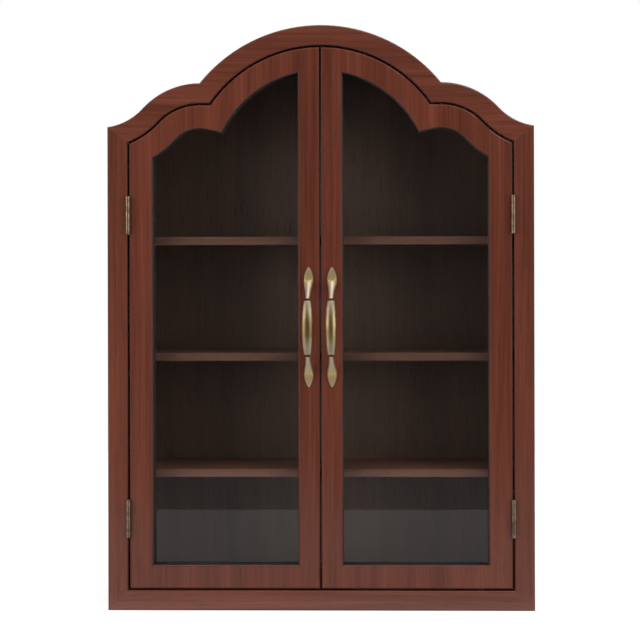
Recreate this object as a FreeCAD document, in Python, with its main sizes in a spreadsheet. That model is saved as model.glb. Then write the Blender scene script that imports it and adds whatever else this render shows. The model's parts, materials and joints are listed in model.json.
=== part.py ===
import FreeCAD, Part
import Sketcher
import math
import os

from FreeCAD import Placement, Rotation, Vector

# Glass wall cabinet: an arched face frame on a shallow carcass, three housed shelves and two glazed doors.
# X runs to the right, the front faces -Y, Z is up. The origin lies on the wall plane,
# midway between the entry holes of the two keyhole hangers.

# Driving dimensions in millimetres; only the slope is in degrees.
SIZES = {
    # outline of the cabinet, seen from the front
    "case_width": 426,
    "case_depth": 127,
    "side_height": 483,
    "shoulder_rise": 43.5,
    "shoulder_span": 92.5,
    "shoulder_radius": 78,
    "cove_radius": 59,
    "arch_rise": 57.5,
    # face frame
    "frame_face": 20,
    "frame_thick": 18,
    "frame_overhang": 2,
    "edge_radius": 1.5,
    # carcass
    "panel_thick": 12,
    "back_thick": 5,
    "back_recess": 12,
    "back_rim": 6,
    "back_clearance": 0.3,
    "shelf_thick": 8,
    "shelf_pitch": 117.5,
    "lowest_bay_height": 110.5,
    "shelf_setback": 5,
    "housing_depth": 4,
    "housing_clearance": 0.1,
    # doors
    "door_thick": 18,
    "door_gap": 2,
    "meeting_gap": 1.7,
    "door_rail": 23.5,
    "meeting_stile": 21.5,
    "door_rear_radius": 3,
    "opening_slope": 12,
    "opening_edge_radius": 2,
    "door_lip": 9,
    "rebate_width": 6,
    "glass_thick": 3,
    "glass_clearance": 0.5,
    "bead_clearance": 0.2,
    "bead_pin_radius": 0.6,
    "bead_pin_length": 13,
    # butt hinges
    "lower_hinge_height": 92,
    "upper_hinge_height": 394.5,
    "hinge_length": 38,
    "hinge_leaf_width": 16,
    "hinge_leaf_thick": 0.9,
    "hinge_barrel_radius": 2.1,
    "hinge_proud": 2,
    "hinge_pin_radius": 1,
    "hinge_pin_clearance": 0.05,
    "knuckle_clearance": 0.3,
    "hinge_screw_spacing": 22,
    "hinge_screw_inset": 10,
    "hinge_screw_radius": 1.1,
    "hinge_screw_head_radius": 2,
    "hinge_screw_length": 9,
    # bow pulls
    "pull_height": 282.7,
    "pull_length": 120,
    "pull_centres": 96,
    "pull_projection": 26,
    "leaf_width": 9.4,
    "grip_width": 10.8,
    "grip_length": 54,
    "pull_screw_radius": 1.5,
    "pull_screw_depth": 3.4,
    "pull_screw_head_radius": 3.2,
    "pull_screw_head_height": 2,
    # hanging rails, keyhole hangers and their screws
    "rail_below_side": 18,
    "upper_rail_height": 14,
    "lower_rail_height": 28,
    "hanger_spacing": 300,
    "hanger_width": 20,
    "hanger_length": 44,
    "hanger_thick": 2,
    "hanger_drop": 15,
    "keyhole_radius": 5,
    "keyhole_slot_radius": 2.5,
    "keyhole_slot_rise": 14,
    "keyhole_margin": 2,
    "hanger_screw_radius": 1.5,
    "hanger_screw_head_radius": 3,
    "hanger_screw_length": 7,
    "hanger_screw_inset": 5,
    "rail_screw_radius": 1.4,
    "rail_screw_head_radius": 2,
    "rail_screw_head_height": 2,
    "rail_screw_recess": 3,
    "rail_screw_length": 22,
    # brads of the back panel
    "brad_radius": 0.7,
    "brad_head_radius": 1.5,
    "brad_head_height": 0.6,
    "brad_length": 14,
    # dowels
    "dowel_radius": 3,
    "bottom_dowel_length": 21,
    "bottom_dowel_depth": 7,
    "bottom_dowel_inset": 20,
    "frame_dowel_length": 20,
    "mitre_dowel_length": 14,
    # double magnetic catch and its strike plates
    "catch_width": 60,
    "catch_depth": 14,
    "catch_height": 16,
    "catch_air": 0.3,
    "magnet_spacing": 26,
    "magnet_width": 14,
    "magnet_height": 7,
    "magnet_length": 9,
    "magnet_proud": 0.3,
    "catch_screw_spacing": 50,
    "catch_screw_radius": 1.2,
    "catch_screw_head_radius": 2.2,
    "catch_screw_head_height": 1.8,
    "catch_screw_length": 24,
    "strike_width": 15,
    "strike_height": 12,
    "strike_thick": 1.2,
    "strike_inset": 0.5,
    "strike_screw_radius": 1.2,
    "strike_screw_head_radius": 2.2,
    "strike_screw_length": 9,
    # radial and end clearance of screws, dowels, brads and pins in their holes; overrun of every cut
    "fastener_clearance": 0.1,
    "cut_overrun": 1,
}

# Places along the straight sides, as shares of the side height.
SIDE_DOWEL_SHARES = (0.09, 0.5, 0.91)
SIDE_BRAD_SHARES = (0.13, 0.37, 0.62)
# Places along the bottom panel, as shares of half the cabinet's width.
BOTTOM_BRAD_SHARES = (0.2, 0.7)
BOTTOM_DOWEL_SHARE = 0.5
# Places along the arched roof, as shares of the angle from its middle to its end, and along the
# shoulder, as a share of the angle from its crest to its end.
ARCH_BRAD_SHARES = (0.3, 0.8)
ARCH_DOWEL_SHARE = 0.5
SHOULDER_BRAD_SHARE = 0.75
SHOULDER_DOWEL_SHARE = 0.4
# Places of the bead's pins, as shares of the straight runs of the opening.
BEAD_SIDE_SHARES = (0.12, 0.5, 0.88)
BEAD_BOTTOM_SHARES = (0.25, 0.75)

# Sections of the pull. Each has its distance from the pull's middle as a share of half its length, its
# width as a share of the widest place, its lift off the door as a share of the projection, and its
# thickness as a share of its width.
LEAF_SECTION_SHARES = (
    (1.0, 0.12, 0.0, 0.9),
    (0.95, 0.5, 0.0, 0.9),
    (0.885, 0.86, 0.0, 0.85),
    (0.8, 1.0, 0.0, 1.0),
    (0.715, 0.9, 0.12, 1.0),
    (0.635, 0.67, 0.3, 1.0),
    (0.56, 0.5, 0.47, 1.0),
    (0.495, 0.45, 0.61, 1.0),
)
GRIP_SECTION_SHARES = (
    (1.0, 0.64, 0.67, 0.95),
    (0.8, 0.79, 0.73, 0.9),
    (0.5, 0.93, 0.8, 0.84),
    (0.2, 0.99, 0.83, 0.79),
)
GRIP_MIDDLE_SHARES = (1.0, 0.84, 0.78)
NECK_WIDTH_SHARE = 0.38

# Flats that make up each rounded edge of a door.
ROUND_STEPS = 3

# Knuckles of a butt hinge, which take turns between its two leaves.
KNUCKLES = 5

SHELVES = ("lower_shelf", "middle_shelf", "upper_shelf")
HANGING_RAILS = ("lower_rail", "upper_rail")

# Values worked out from the driving dimensions, each from those above it; angles in degrees.
DERIVED = {
    "half_width": "sizes.case_width / 2",
    "shoulder_height": "sizes.side_height + sizes.shoulder_rise",
    "crown_height": "shoulder_height + sizes.arch_rise",
    "arch_half_span": "half_width - sizes.shoulder_span",
    "arch_radius": "(arch_half_span ^ 2 + sizes.arch_rise ^ 2) / (2 * sizes.arch_rise)",
    "arch_centre": "crown_height - arch_radius",
    "shoulder_centre": "shoulder_height - sizes.shoulder_radius",
    "corner_lift": "sizes.shoulder_radius - sizes.shoulder_rise",
    "corner_reach": "sqrt(sizes.shoulder_span ^ 2 + corner_lift ^ 2)",
    "centres_apart": "sizes.shoulder_radius + sizes.cove_radius",
    "centre_along": "(centres_apart ^ 2 - sizes.cove_radius ^ 2 + corner_reach ^ 2) / (2 * corner_reach)",
    "centre_across": "sqrt(centres_apart ^ 2 - centre_along ^ 2)",
    "cove_centre_out": "arch_half_span"
    " + (centre_along * sizes.shoulder_span - centre_across * corner_lift) / corner_reach",
    "cove_centre": "shoulder_centre"
    " + (centre_along * corner_lift + centre_across * sizes.shoulder_span) / corner_reach",
    "arch_angle": "atan2(arch_half_span; arch_radius - sizes.arch_rise) / 1 deg",
    "shoulder_angle": "atan2(cove_centre_out - arch_half_span; cove_centre - shoulder_centre) / 1 deg",
    "frame_back": "sizes.case_depth - sizes.frame_thick",
    "door_back": "sizes.case_depth - sizes.door_thick",
    "back_front": "sizes.back_recess + sizes.back_thick",
    "panel_offset": "sizes.frame_overhang + sizes.panel_thick",
    "rim_offset": "sizes.frame_overhang + sizes.back_rim",
    "back_offset": "rim_offset + sizes.back_clearance",
    "ledge_offset": "(rim_offset + panel_offset) / 2",
    "roof_middle_offset": "sizes.frame_overhang + sizes.panel_thick / 2",
    "inner_half_width": "half_width - panel_offset",
    "bottom_low": "sizes.frame_face - sizes.panel_thick",
    "bottom_middle": "sizes.frame_face - sizes.panel_thick / 2",
    "door_offset": "sizes.frame_face + sizes.door_gap",
    "opening_offset": "door_offset + sizes.door_rail",
    "rebate_offset": "opening_offset - sizes.rebate_width",
    "meeting_edge": "sizes.meeting_gap / 2",
    "opening_edge": "meeting_edge + sizes.meeting_stile",
    "rebate_edge": "opening_edge - sizes.rebate_width",
    "glass_front": "sizes.case_depth - sizes.door_lip",
    "glass_back": "glass_front - sizes.glass_thick",
    "bead_middle": "(glass_back + door_back) / 2",
    "hinge_axis_out": "half_width - sizes.frame_face - sizes.door_gap / 2",
    "hinge_axis_depth": "sizes.case_depth + sizes.hinge_proud",
    "knuckle_length": f"sizes.hinge_length / {KNUCKLES}",
    "pull_out": "meeting_edge + sizes.meeting_stile / 2",
    "catch_front": "door_back - sizes.strike_thick - sizes.catch_air - sizes.magnet_proud",
    "strike_low": "door_offset + sizes.door_rear_radius + sizes.strike_inset",
    "strike_middle": "strike_low + sizes.strike_height / 2",
    "hanger_out": "sizes.hanger_spacing / 2",
    "keyhole_room": "sizes.keyhole_radius + sizes.keyhole_margin",
    "upper_rail_low": "sizes.side_height - sizes.rail_below_side - sizes.upper_rail_height",
    "hanger_height": "upper_rail_low - sizes.keyhole_slot_rise - keyhole_room",
    "lower_rail_low": "hanger_height - keyhole_room - sizes.lower_rail_height",
}

doc = FreeCAD.newDocument("glass_wall_cabinet")
sheet = doc.addObject("Spreadsheet::Sheet", "sizes")
for row, (alias, size) in enumerate(SIZES.items(), start=1):
    sheet.set(f"A{row}", alias)
    sheet.set(f"B{row}", str(size))
    sheet.setAlias(f"B{row}", alias)
doc.recompute()

derived = doc.addObject("App::VarSet", "derived")
for alias, expression in DERIVED.items():
    derived.addProperty("App::PropertyFloat", alias)
    derived.setExpression(alias, expression)
    doc.recompute()

# Turns that carry +Z onto each of the directions a fastener points along.
TURNS = {
    "+X": Rotation(Vector(0, 1, 0), 90),
    "-X": Rotation(Vector(0, 1, 0), -90),
    "+Y": Rotation(Vector(1, 0, 0), -90),
    "-Y": Rotation(Vector(1, 0, 0), 90),
    "+Z": Rotation(),
    "-Z": Rotation(Vector(1, 0, 0), 180),
}

# Coordinates closer than this are the same place.
SAME_PLACE = 1e-6

nodes = []


def value(expression):
    """Number that an expression gives with the present sizes."""
    return float(sheet.evalExpression(expression))


def bind(thing, expressions):
    """Tie properties of a document object to expressions."""
    for name, expression in expressions.items():
        thing.setExpression(name, expression)


def place(thing, across, depth, height, turn=None):
    """Put an object at a place given across the front, out from the wall and up from the underside."""
    if turn:
        thing.Placement = Placement(Vector(), turn)
    bind(thing, {
        "Placement.Base.x": across,
        "Placement.Base.y": f"-({depth})",
        "Placement.Base.z": f"{height} - derived.hanger_height",
    })


def node(label, thing):
    """Mark a document object as a finished piece of the cabinet."""
    thing.Label = label
    nodes.append(thing)


def block(name, across, depth, height, width, thick, tall):
    """Box from its low corner: left end, rear face and underside, with its width, depth and height."""
    box = doc.addObject("Part::Box", name)
    bind(box, {"Length": width, "Width": thick, "Height": tall})
    place(box, across, f"{depth} + {thick}", height)
    return box


def rod(name, radius, length, across, depth, height, turn):
    """Round rod that starts at a place and runs along a turned axis."""
    cylinder = doc.addObject("Part::Cylinder", name)
    bind(cylinder, {"Radius": radius, "Height": length})
    place(cylinder, across, depth, height, turn)
    return cylinder


def taper(name, wide, narrow, length, across, depth, height, turn):
    """Cone from its wide end at a place to its narrow end along a turned axis."""
    cone = doc.addObject("Part::Cone", name)
    bind(cone, {"Radius1": wide, "Radius2": narrow, "Height": length})
    place(cone, across, depth, height, turn)
    return cone


def group(name, things):
    """Separate solids kept together in one object."""
    compound = doc.addObject("Part::Compound", name)
    compound.Links = things
    return compound


def fuse(name, things):
    """One solid from several that meet."""
    union = doc.addObject("Part::MultiFuse", name)
    union.Shapes = things
    return union


def cut(name, base, tools):
    """Base with all tools taken out of it."""
    remainder = doc.addObject("Part::Cut", name)
    remainder.Base = base
    remainder.Tool = group(f"{name}_tools", tools) if len(tools) > 1 else tools[0]
    return remainder


def mirrored(name, source):
    """Left-hand copy of a right-hand object."""
    copy = doc.addObject("Part::Mirroring", name)
    copy.Source = source
    copy.Normal = Vector(1, 0, 0)
    return copy


def both(things):
    """Right-hand objects together with their left-hand copies."""
    return [*things, *(mirrored(f"{thing.Name}_mirrored", thing) for thing in things)]


def fastener(name, spot, axis, shank, length, head=None, head_height=None, flat=False):
    """Screw, brad or dowel with its head's outer face at a spot, and the matching hole.

    A flat head is a cone down to the shank, any other head a disc. The hole is wider and longer than
    the fastener by the fastener clearance.
    """
    turn = TURNS[axis] if isinstance(axis, str) else axis
    made = []
    for suffix, ease in (("", "0"), ("_hole", "sizes.fastener_clearance")):
        total = f"{length} + {head_height}" if head else length
        pieces = [rod(f"{name}_shank{suffix}", f"{shank} + {ease}", f"{total} + {ease}", *spot, turn)]
        if head:
            narrow = shank if flat else head
            pieces.append(taper(
                f"{name}_head{suffix}", f"{head} + {ease}", f"{narrow} + {ease}", head_height, *spot, turn
            ))
        made.append(fuse(f"{name}{suffix}", pieces) if head else pieces[0])
    return made


def new_body(name):
    """Body in the cabinet's frame whose sketches measure heights from the underside."""
    body = doc.addObject("PartDesign::Body", name)
    bind(body, {"Placement.Base.z": "-derived.hanger_height"})
    return body


def front_sketch(body, name, depth):
    """Sketch parallel to the cabinet's front, at a distance from the wall."""
    sketch = body.newObject("Sketcher::SketchObject", name)
    planes = {feature.Role: feature for feature in body.Origin.OriginFeatures}
    sketch.AttachmentSupport = [(planes["XZ_Plane"], "")]
    sketch.MapMode = "FlatFace"
    sketch.setExpression("AttachmentOffset.Base.z", depth)
    return sketch


def dimension(sketch, name, expression, kind, *places):
    """Named sketch dimension tied to an expression."""
    index = sketch.addConstraint(Sketcher.Constraint(kind, *places, value(expression)))
    sketch.renameConstraint(index, name)
    sketch.setExpression(f"Constraints.{name}", expression)


def coincide(sketch, first, second):
    """Two edge ends, each an edge and its end, at one point."""
    sketch.addConstraint(Sketcher.Constraint("Coincident", *first, *second))


def end_point(sketch, end):
    """Point of an edge's end in the sketch."""
    return sketch.getPoint(*end)


def join(sketch, first, second):
    """Straight edge between two edge ends."""
    edge = sketch.addGeometry(Part.LineSegment(end_point(sketch, first), end_point(sketch, second)))
    coincide(sketch, (edge, 1), first)
    coincide(sketch, (edge, 2), second)
    return edge


def cusp_out(offset):
    """Distance from the middle at which an outline's arch meets its level ledge."""
    return f"sqrt(2 * (derived.arch_radius - ({offset})) * sizes.arch_rise - sizes.arch_rise ^ 2)"


def cove_foot(offset):
    """Height at which an outline's cove meets its straight side."""
    reach = f"derived.cove_centre_out - derived.half_width + ({offset})"
    return f"derived.cove_centre - sqrt((sizes.cove_radius + ({offset})) ^ 2 - ({reach}) ^ 2)"


def crest(sketch, prefix, offset, edges, inner="0", slope=None):
    """Top of an outline, set in from the cabinet's own by an offset, over the right half.

    The edges run from the straight side inwards: cove, shoulder, ledge and arch. The cove and the shoulder
    are tangent, and the ledge is tangent to the shoulder. A slope tilts the ledge down towards the arch.
    Returns the outer and the inner end, each as an edge and its end.
    """
    tilt = math.radians(value(slope)) if slope else 0
    inset = value(offset)
    shoulder_centre = Vector(derived.arch_half_span, derived.shoulder_centre)
    cove_centre = Vector(derived.cove_centre_out, derived.cove_centre)
    arch_centre = Vector(0, derived.arch_centre)
    arch_radius = derived.arch_radius - inset
    shoulder_radius = sheet.shoulder_radius - inset
    cove_radius = sheet.cove_radius + inset
    upward = Vector(0, 0, 1)
    turn = math.atan2(cove_centre.y - shoulder_centre.y, cove_centre.x - shoulder_centre.x)
    inward = Vector(-math.cos(tilt), -math.sin(tilt))
    touch = shoulder_centre + Vector(-math.sin(tilt), math.cos(tilt)) * shoulder_radius
    from_arch = touch - arch_centre
    along = from_arch.dot(inward)
    reach = -along - math.sqrt(max(along ** 2 - from_arch.dot(from_arch) + arch_radius ** 2, 0))
    cusp = touch + inward * reach
    made = {}
    if "cove" in edges:
        out = derived.half_width - inset - cove_centre.x
        foot = math.atan2(-math.sqrt(cove_radius ** 2 - out ** 2), out) + 2 * math.pi
        circle = Part.Circle(cove_centre, upward, cove_radius)
        made["cove"] = sketch.addGeometry(Part.ArcOfCircle(circle, turn + math.pi, foot))
    if "shoulder" in edges:
        circle = Part.Circle(shoulder_centre, upward, shoulder_radius)
        made["shoulder"] = sketch.addGeometry(Part.ArcOfCircle(circle, turn, math.pi / 2 + tilt))
    if "ledge" in edges:
        made["ledge"] = sketch.addGeometry(Part.LineSegment(cusp, touch))
    if "arch" in edges:
        circle = Part.Circle(arch_centre, upward, arch_radius)
        low = math.atan2(cusp.y - arch_centre.y, cusp.x)
        high = math.acos(value(inner) / arch_radius)
        made["arch"] = sketch.addGeometry(Part.ArcOfCircle(circle, low, high))

    if "cove" in made:
        cove = made["cove"]
        sketch.addConstraint(Sketcher.Constraint("Tangent", cove, 1, made["shoulder"], 1))
        dimension(sketch, f"{prefix}_cove_out", "derived.cove_centre_out", "DistanceX", -1, 1, cove, 3)
        dimension(sketch, f"{prefix}_cove_radius", f"sizes.cove_radius + {offset}", "Radius", cove)
        dimension(sketch, f"{prefix}_side", f"derived.half_width - ({offset})", "DistanceX", -1, 1, cove, 2)
    if "shoulder" in made:
        bend = made["shoulder"]
        dimension(sketch, f"{prefix}_bend_out", "derived.arch_half_span", "DistanceX", -1, 1, bend, 3)
        dimension(sketch, f"{prefix}_bend_up", "derived.shoulder_centre", "DistanceY", -1, 1, bend, 3)
        dimension(sketch, f"{prefix}_bend_radius", f"sizes.shoulder_radius - ({offset})", "Radius", bend)
    if "ledge" in made:
        ledge = made["ledge"]
        sketch.addConstraint(Sketcher.Constraint("Tangent", made["shoulder"], 2, ledge, 2))
        if slope:
            index = sketch.addConstraint(Sketcher.Constraint("Angle", ledge, tilt))
            sketch.renameConstraint(index, f"{prefix}_slope")
            sketch.setExpression(f"Constraints.{prefix}_slope", f"{slope} * 1 deg")
        else:
            sketch.addConstraint(Sketcher.Constraint("Horizontal", ledge))
    if "arch" in made:
        arch = made["arch"]
        sketch.addConstraint(Sketcher.Constraint("PointOnObject", arch, 3, -2))
        dimension(sketch, f"{prefix}_arch_up", "derived.arch_centre", "DistanceY", -1, 1, arch, 3)
        dimension(sketch, f"{prefix}_arch_radius", f"derived.arch_radius - ({offset})", "Radius", arch)
        if value(inner):
            dimension(sketch, f"{prefix}_inner", inner, "DistanceX", -1, 1, arch, 2)
        else:
            sketch.addConstraint(Sketcher.Constraint("PointOnObject", arch, 2, -2))

    if "arch" in made and "shoulder" in made:
        meeting = (made["ledge"], 1) if "ledge" in made else (made["shoulder"], 2)
        coincide(sketch, meeting, (made["arch"], 1))
    else:
        loose = made["arch"] if "arch" in made else made["ledge"]
        dimension(sketch, f"{prefix}_cusp", cusp_out(offset), "DistanceX", -1, 1, loose, 1)
    outer_end = (made["cove"], 2) if "cove" in made else (made["arch"], 1)
    inner_end = (made["arch"], 2) if "arch" in made else (made["ledge"], 1)
    return outer_end, inner_end


WHOLE_CREST = ("cove", "shoulder", "ledge", "arch")


def half_outline(sketch, prefix, offset, low, inner="0", slope=None):
    """Closed outline of the right half, from its crest down to a level bottom edge."""
    outer_end, inner_end = crest(sketch, prefix, offset, WHOLE_CREST, inner, slope)
    side_top = end_point(sketch, outer_end)
    inner_top = end_point(sketch, inner_end)
    side_foot = Vector(side_top.x, value(low))
    inner_foot = Vector(inner_top.x, value(low))
    side = sketch.addGeometry(Part.LineSegment(side_foot, side_top))
    inside = sketch.addGeometry(Part.LineSegment(inner_top, inner_foot))
    foot = sketch.addGeometry(Part.LineSegment(inner_foot, side_foot))
    coincide(sketch, (side, 2), outer_end)
    coincide(sketch, (inside, 1), inner_end)
    coincide(sketch, (foot, 1), (inside, 2))
    coincide(sketch, (foot, 2), (side, 1))
    sketch.addConstraint(Sketcher.Constraint("Vertical", side))
    sketch.addConstraint(Sketcher.Constraint("Vertical", inside))
    sketch.addConstraint(Sketcher.Constraint("Horizontal", foot))
    dimension(sketch, f"{prefix}_low", low, "DistanceY", -1, 1, foot, 1)


def polygon(sketch, corners):
    """Closed outline through corners given as expressions across and up."""
    points = [Vector(value(across), value(height)) for across, height in corners]
    edges = [
        sketch.addGeometry(Part.LineSegment(point, points[(index + 1) % len(points)]))
        for index, point in enumerate(points)
    ]
    for index, (edge, (across, height)) in enumerate(zip(edges, corners)):
        coincide(sketch, (edge, 2), (edges[(index + 1) % len(edges)], 1))
        for axis, name, expression, line in (("X", "out", across, -2), ("Y", "up", height, -1)):
            if value(expression):
                dimension(sketch, f"corner{index}_{name}", expression, f"Distance{axis}", -1, 1, edge, 1)
            else:
                sketch.addConstraint(Sketcher.Constraint("PointOnObject", edge, 1, line))


def pad(body, sketch, length):
    """Solid from a sketch, grown towards the front."""
    feature = body.newObject("PartDesign::Pad", f"{sketch.Name}_pad")
    feature.Profile = sketch
    feature.setExpression("Length", length)
    doc.recompute()
    return feature


def pocket(body, sketch, length):
    """Cut from a sketch, sunk towards the front."""
    before = body.Shape.Volume
    feature = body.newObject("PartDesign::Pocket", f"{sketch.Name}_pocket")
    feature.Profile = sketch
    feature.Reversed = True
    feature.setExpression("Length", length)
    doc.recompute()
    if not body.Shape.Volume < before:
        raise RuntimeError(f"{feature.Name} cuts nothing")
    return feature


def mirror_body(body, feature):
    """Second half of a body, mirrored about the cabinet's middle plane."""
    planes = {origin.Role: origin for origin in body.Origin.OriginFeatures}
    twin = body.newObject("PartDesign::Mirrored", f"{feature.Name}_twin")
    twin.Originals = [feature]
    twin.MirrorPlane = (planes["YZ_Plane"], [""])
    body.Tip = twin
    doc.recompute()
    return twin


def near(first, second):
    """Whether two coordinates are the same place."""
    return math.isclose(first, second, abs_tol=SAME_PLACE)


def front_edges(shape):
    """Numbered edges around the front face of a frame piece."""
    level = -value("sizes.case_depth")
    found = []
    for face in shape.Faces:
        flat = isinstance(face.Surface, Part.Plane) and near(abs(face.Surface.Axis.y), 1)
        if flat and near(face.CenterOfMass.y, level):
            found.extend(face.Edges)
    return [(number, edge) for number, edge in enumerate(shape.Edges, start=1)
            if any(edge.isSame(other) for other in found)]


def is_mitre(edge):
    """Whether a front edge is a slanted straight one, as where two frame pieces meet."""
    first = edge.Vertexes[0].Point
    last = edge.Vertexes[-1].Point
    straight = isinstance(edge.Curve, Part.Line)
    return straight and not near(first.x, last.x) and not near(first.z, last.z)


def round_frame_piece(body, feature):
    """Rounded front edges of a frame piece, all but its mitres."""
    numbers = [number for number, edge in front_edges(feature.Shape) if not is_mitre(edge)]
    fillet = body.newObject("PartDesign::Fillet", f"{feature.Name}_fillet")
    fillet.Base = (feature, [f"Edge{number}" for number in numbers])
    fillet.setExpression("Radius", "sizes.edge_radius")
    doc.recompute()


# Face frame: four mitred pieces with rounded front edges.

def build_top_rail():
    """Arched top rail, one half drawn and mirrored."""
    body = new_body("top_rail_body")
    sketch = front_sketch(body, "top_rail_sketch", "derived.frame_back")
    outer_side, outer_middle = crest(sketch, "outer", "0", ("cove", "shoulder", "arch"))
    inner_side, inner_middle = crest(sketch, "inner", "sizes.frame_face", WHOLE_CREST)
    join(sketch, outer_side, inner_side)
    join(sketch, outer_middle, inner_middle)
    half = pad(body, sketch, "sizes.frame_thick")
    whole = mirror_body(body, half)
    round_frame_piece(body, whole)
    return body


def build_stile():
    """Right stile, mitred at both ends."""
    body = new_body("stile_body")
    sketch = front_sketch(body, "stile_sketch", "derived.frame_back")
    inner = "derived.half_width - sizes.frame_face"
    polygon(sketch, [
        (inner, "sizes.frame_face"),
        ("derived.half_width", "0"),
        ("derived.half_width", "sizes.side_height"),
        (inner, cove_foot("sizes.frame_face")),
    ])
    whole = pad(body, sketch, "sizes.frame_thick")
    round_frame_piece(body, whole)
    return body


def build_bottom_rail():
    """Bottom rail, mitred at both ends."""
    body = new_body("bottom_rail_body")
    sketch = front_sketch(body, "bottom_rail_sketch", "derived.frame_back")
    polygon(sketch, [
        ("0", "0"),
        ("derived.half_width", "0"),
        ("derived.half_width - sizes.frame_face", "sizes.frame_face"),
        ("0", "sizes.frame_face"),
    ])
    half = pad(body, sketch, "sizes.frame_thick")
    whole = mirror_body(body, half)
    round_frame_piece(body, whole)
    return body


# Carcass panels.

def build_side():
    """Right side panel before its housings and holes; its top is mitred to the roof."""
    body = new_body("side_body")
    sketch = front_sketch(body, "side_sketch", "0")
    outer = "derived.half_width - sizes.frame_overhang"
    polygon(sketch, [
        ("derived.inner_half_width", "0"),
        (outer, "0"),
        (outer, cove_foot("sizes.frame_overhang")),
        ("derived.inner_half_width", cove_foot("derived.panel_offset")),
    ])
    pad(body, sketch, "derived.frame_back")
    return body


def build_roof_arch():
    """Middle piece of the roof, bent to the arch."""
    body = new_body("roof_arch_body")
    sketch = front_sketch(body, "roof_arch_sketch", "0")
    outer_cusp, outer_middle = crest(sketch, "outer", "sizes.frame_overhang", ("arch",))
    inner_cusp, inner_middle = crest(sketch, "inner", "derived.panel_offset", ("arch",))
    join(sketch, outer_cusp, inner_cusp)
    join(sketch, outer_middle, inner_middle)
    half = pad(body, sketch, "derived.frame_back")
    mirror_body(body, half)
    return body


def build_roof_shoulder():
    """Right piece of the roof, from the arch's cusp down to the side panel."""
    body = new_body("roof_shoulder_body")
    sketch = front_sketch(body, "roof_shoulder_sketch", "0")
    edges = ("cove", "shoulder", "ledge")
    outer_side, outer_cusp = crest(sketch, "outer", "sizes.frame_overhang", edges)
    inner_side, inner_cusp = crest(sketch, "inner", "derived.panel_offset", edges)
    join(sketch, outer_side, inner_side)
    join(sketch, outer_cusp, inner_cusp)
    pad(body, sketch, "derived.frame_back")
    return body


def build_outline_plate(name, offset, low, depth, thick):
    """Plate of the whole outline at an offset, such as the back panel and the rebate it sits in."""
    body = new_body(f"{name}_body")
    sketch = front_sketch(body, f"{name}_sketch", depth)
    half_outline(sketch, "edge", offset, low)
    half = pad(body, sketch, thick)
    mirror_body(body, half)
    return body


# Door pieces.

def quarter_round(face, inward, offset, inset, radius):
    """Depths and offsets of the outlines over a rounded edge, from the wood's side up to its face."""
    angles = [math.degrees(math.pi / 2) * step / ROUND_STEPS for step in range(ROUND_STEPS + 1)]
    return [
        (f"{face} {inward} {radius} * (1 - sin({angle}))", f"{offset} {inset} {radius} * (1 - cos({angle}))")
        for angle in angles
    ]


def outline_loft(body, kind, name, rows, edge, slope=None):
    """Ruled solid or cut through outlines of the right half, each at a depth and an offset.

    The straight edge beside the middle is given as its place less its offset.
    """
    sketches = []
    for index, (depth, offset) in enumerate(rows):
        sketch = front_sketch(body, f"{name}_sketch{index}", depth)
        half_outline(sketch, "edge", f"({offset})", offset, f"{edge} + ({offset})", slope)
        sketches.append(sketch)
    feature = body.newObject(kind, name)
    feature.Profile = sketches[0]
    feature.Sections = sketches[1:]
    feature.Ruled = True
    doc.recompute()


def build_door_frame():
    """Right door frame: one board with rounded edges, a shaped opening and a rebate behind it."""
    body = new_body("door_frame_body")
    rear = quarter_round("derived.door_back", "+", "derived.door_offset", "+", "sizes.door_rear_radius")
    front = quarter_round("sizes.case_depth", "-", "derived.door_offset", "+", "sizes.edge_radius")
    outer_edge = "derived.meeting_edge - derived.door_offset"
    outline_loft(body, "PartDesign::AdditiveLoft", "door_board", [*reversed(rear), *front], outer_edge)
    behind = ("derived.door_back - sizes.cut_overrun", "derived.opening_offset")
    lip = quarter_round("sizes.case_depth", "-", "derived.opening_offset", "-", "sizes.opening_edge_radius")
    inner_edge = "derived.opening_edge - derived.opening_offset"
    outline_loft(
        body, "PartDesign::SubtractiveLoft", "door_opening", [behind, *lip], inner_edge, "sizes.opening_slope"
    )
    seat = front_sketch(body, "door_rebate_sketch", "derived.door_back")
    half_outline(
        seat, "rebate", "derived.rebate_offset", "derived.rebate_offset", "derived.rebate_edge",
        "sizes.opening_slope",
    )
    pocket(body, seat, "sizes.door_thick - sizes.door_lip")
    return body


def build_glass():
    """Right glass pane, in the rebate behind the door frame's lip."""
    body = new_body("glass_body")
    sketch = front_sketch(body, "glass_sketch", "derived.glass_back")
    offset = "derived.rebate_offset + sizes.glass_clearance"
    half_outline(
        sketch, "edge", offset, offset, "derived.rebate_edge + sizes.glass_clearance", "sizes.opening_slope"
    )
    pad(body, sketch, "sizes.glass_thick")
    return body


def build_bead():
    """Right glazing bead, which fills the rebate behind the pane."""
    body = new_body("bead_body")
    sketch = front_sketch(body, "bead_sketch", "derived.door_back")
    offset = "derived.rebate_offset + sizes.bead_clearance"
    half_outline(
        sketch, "outer", offset, offset, "derived.rebate_edge + sizes.bead_clearance", "sizes.opening_slope"
    )
    half_outline(
        sketch, "inner", "derived.opening_offset", "derived.opening_offset", "derived.opening_edge",
        "sizes.opening_slope",
    )
    pad(body, sketch, "derived.glass_back - derived.door_back")
    return body


def pull_section(name, reach, half_width, lift, roundness):
    """Level elliptical section of the pull at a distance from its middle."""
    ellipse = doc.addObject("Part::Ellipse", name)
    bind(ellipse, {"MajorRadius": half_width, "MinorRadius": f"{half_width} * {roundness}"})
    place(
        ellipse, "derived.pull_out", f"sizes.case_depth + {lift} * sizes.pull_projection",
        f"sizes.pull_height + {reach}",
    )
    return ellipse


def loft(name, sections):
    """Smooth solid through a row of sections."""
    skin = doc.addObject("Part::Loft", name)
    skin.Sections = sections
    skin.Solid = True
    return skin


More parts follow.
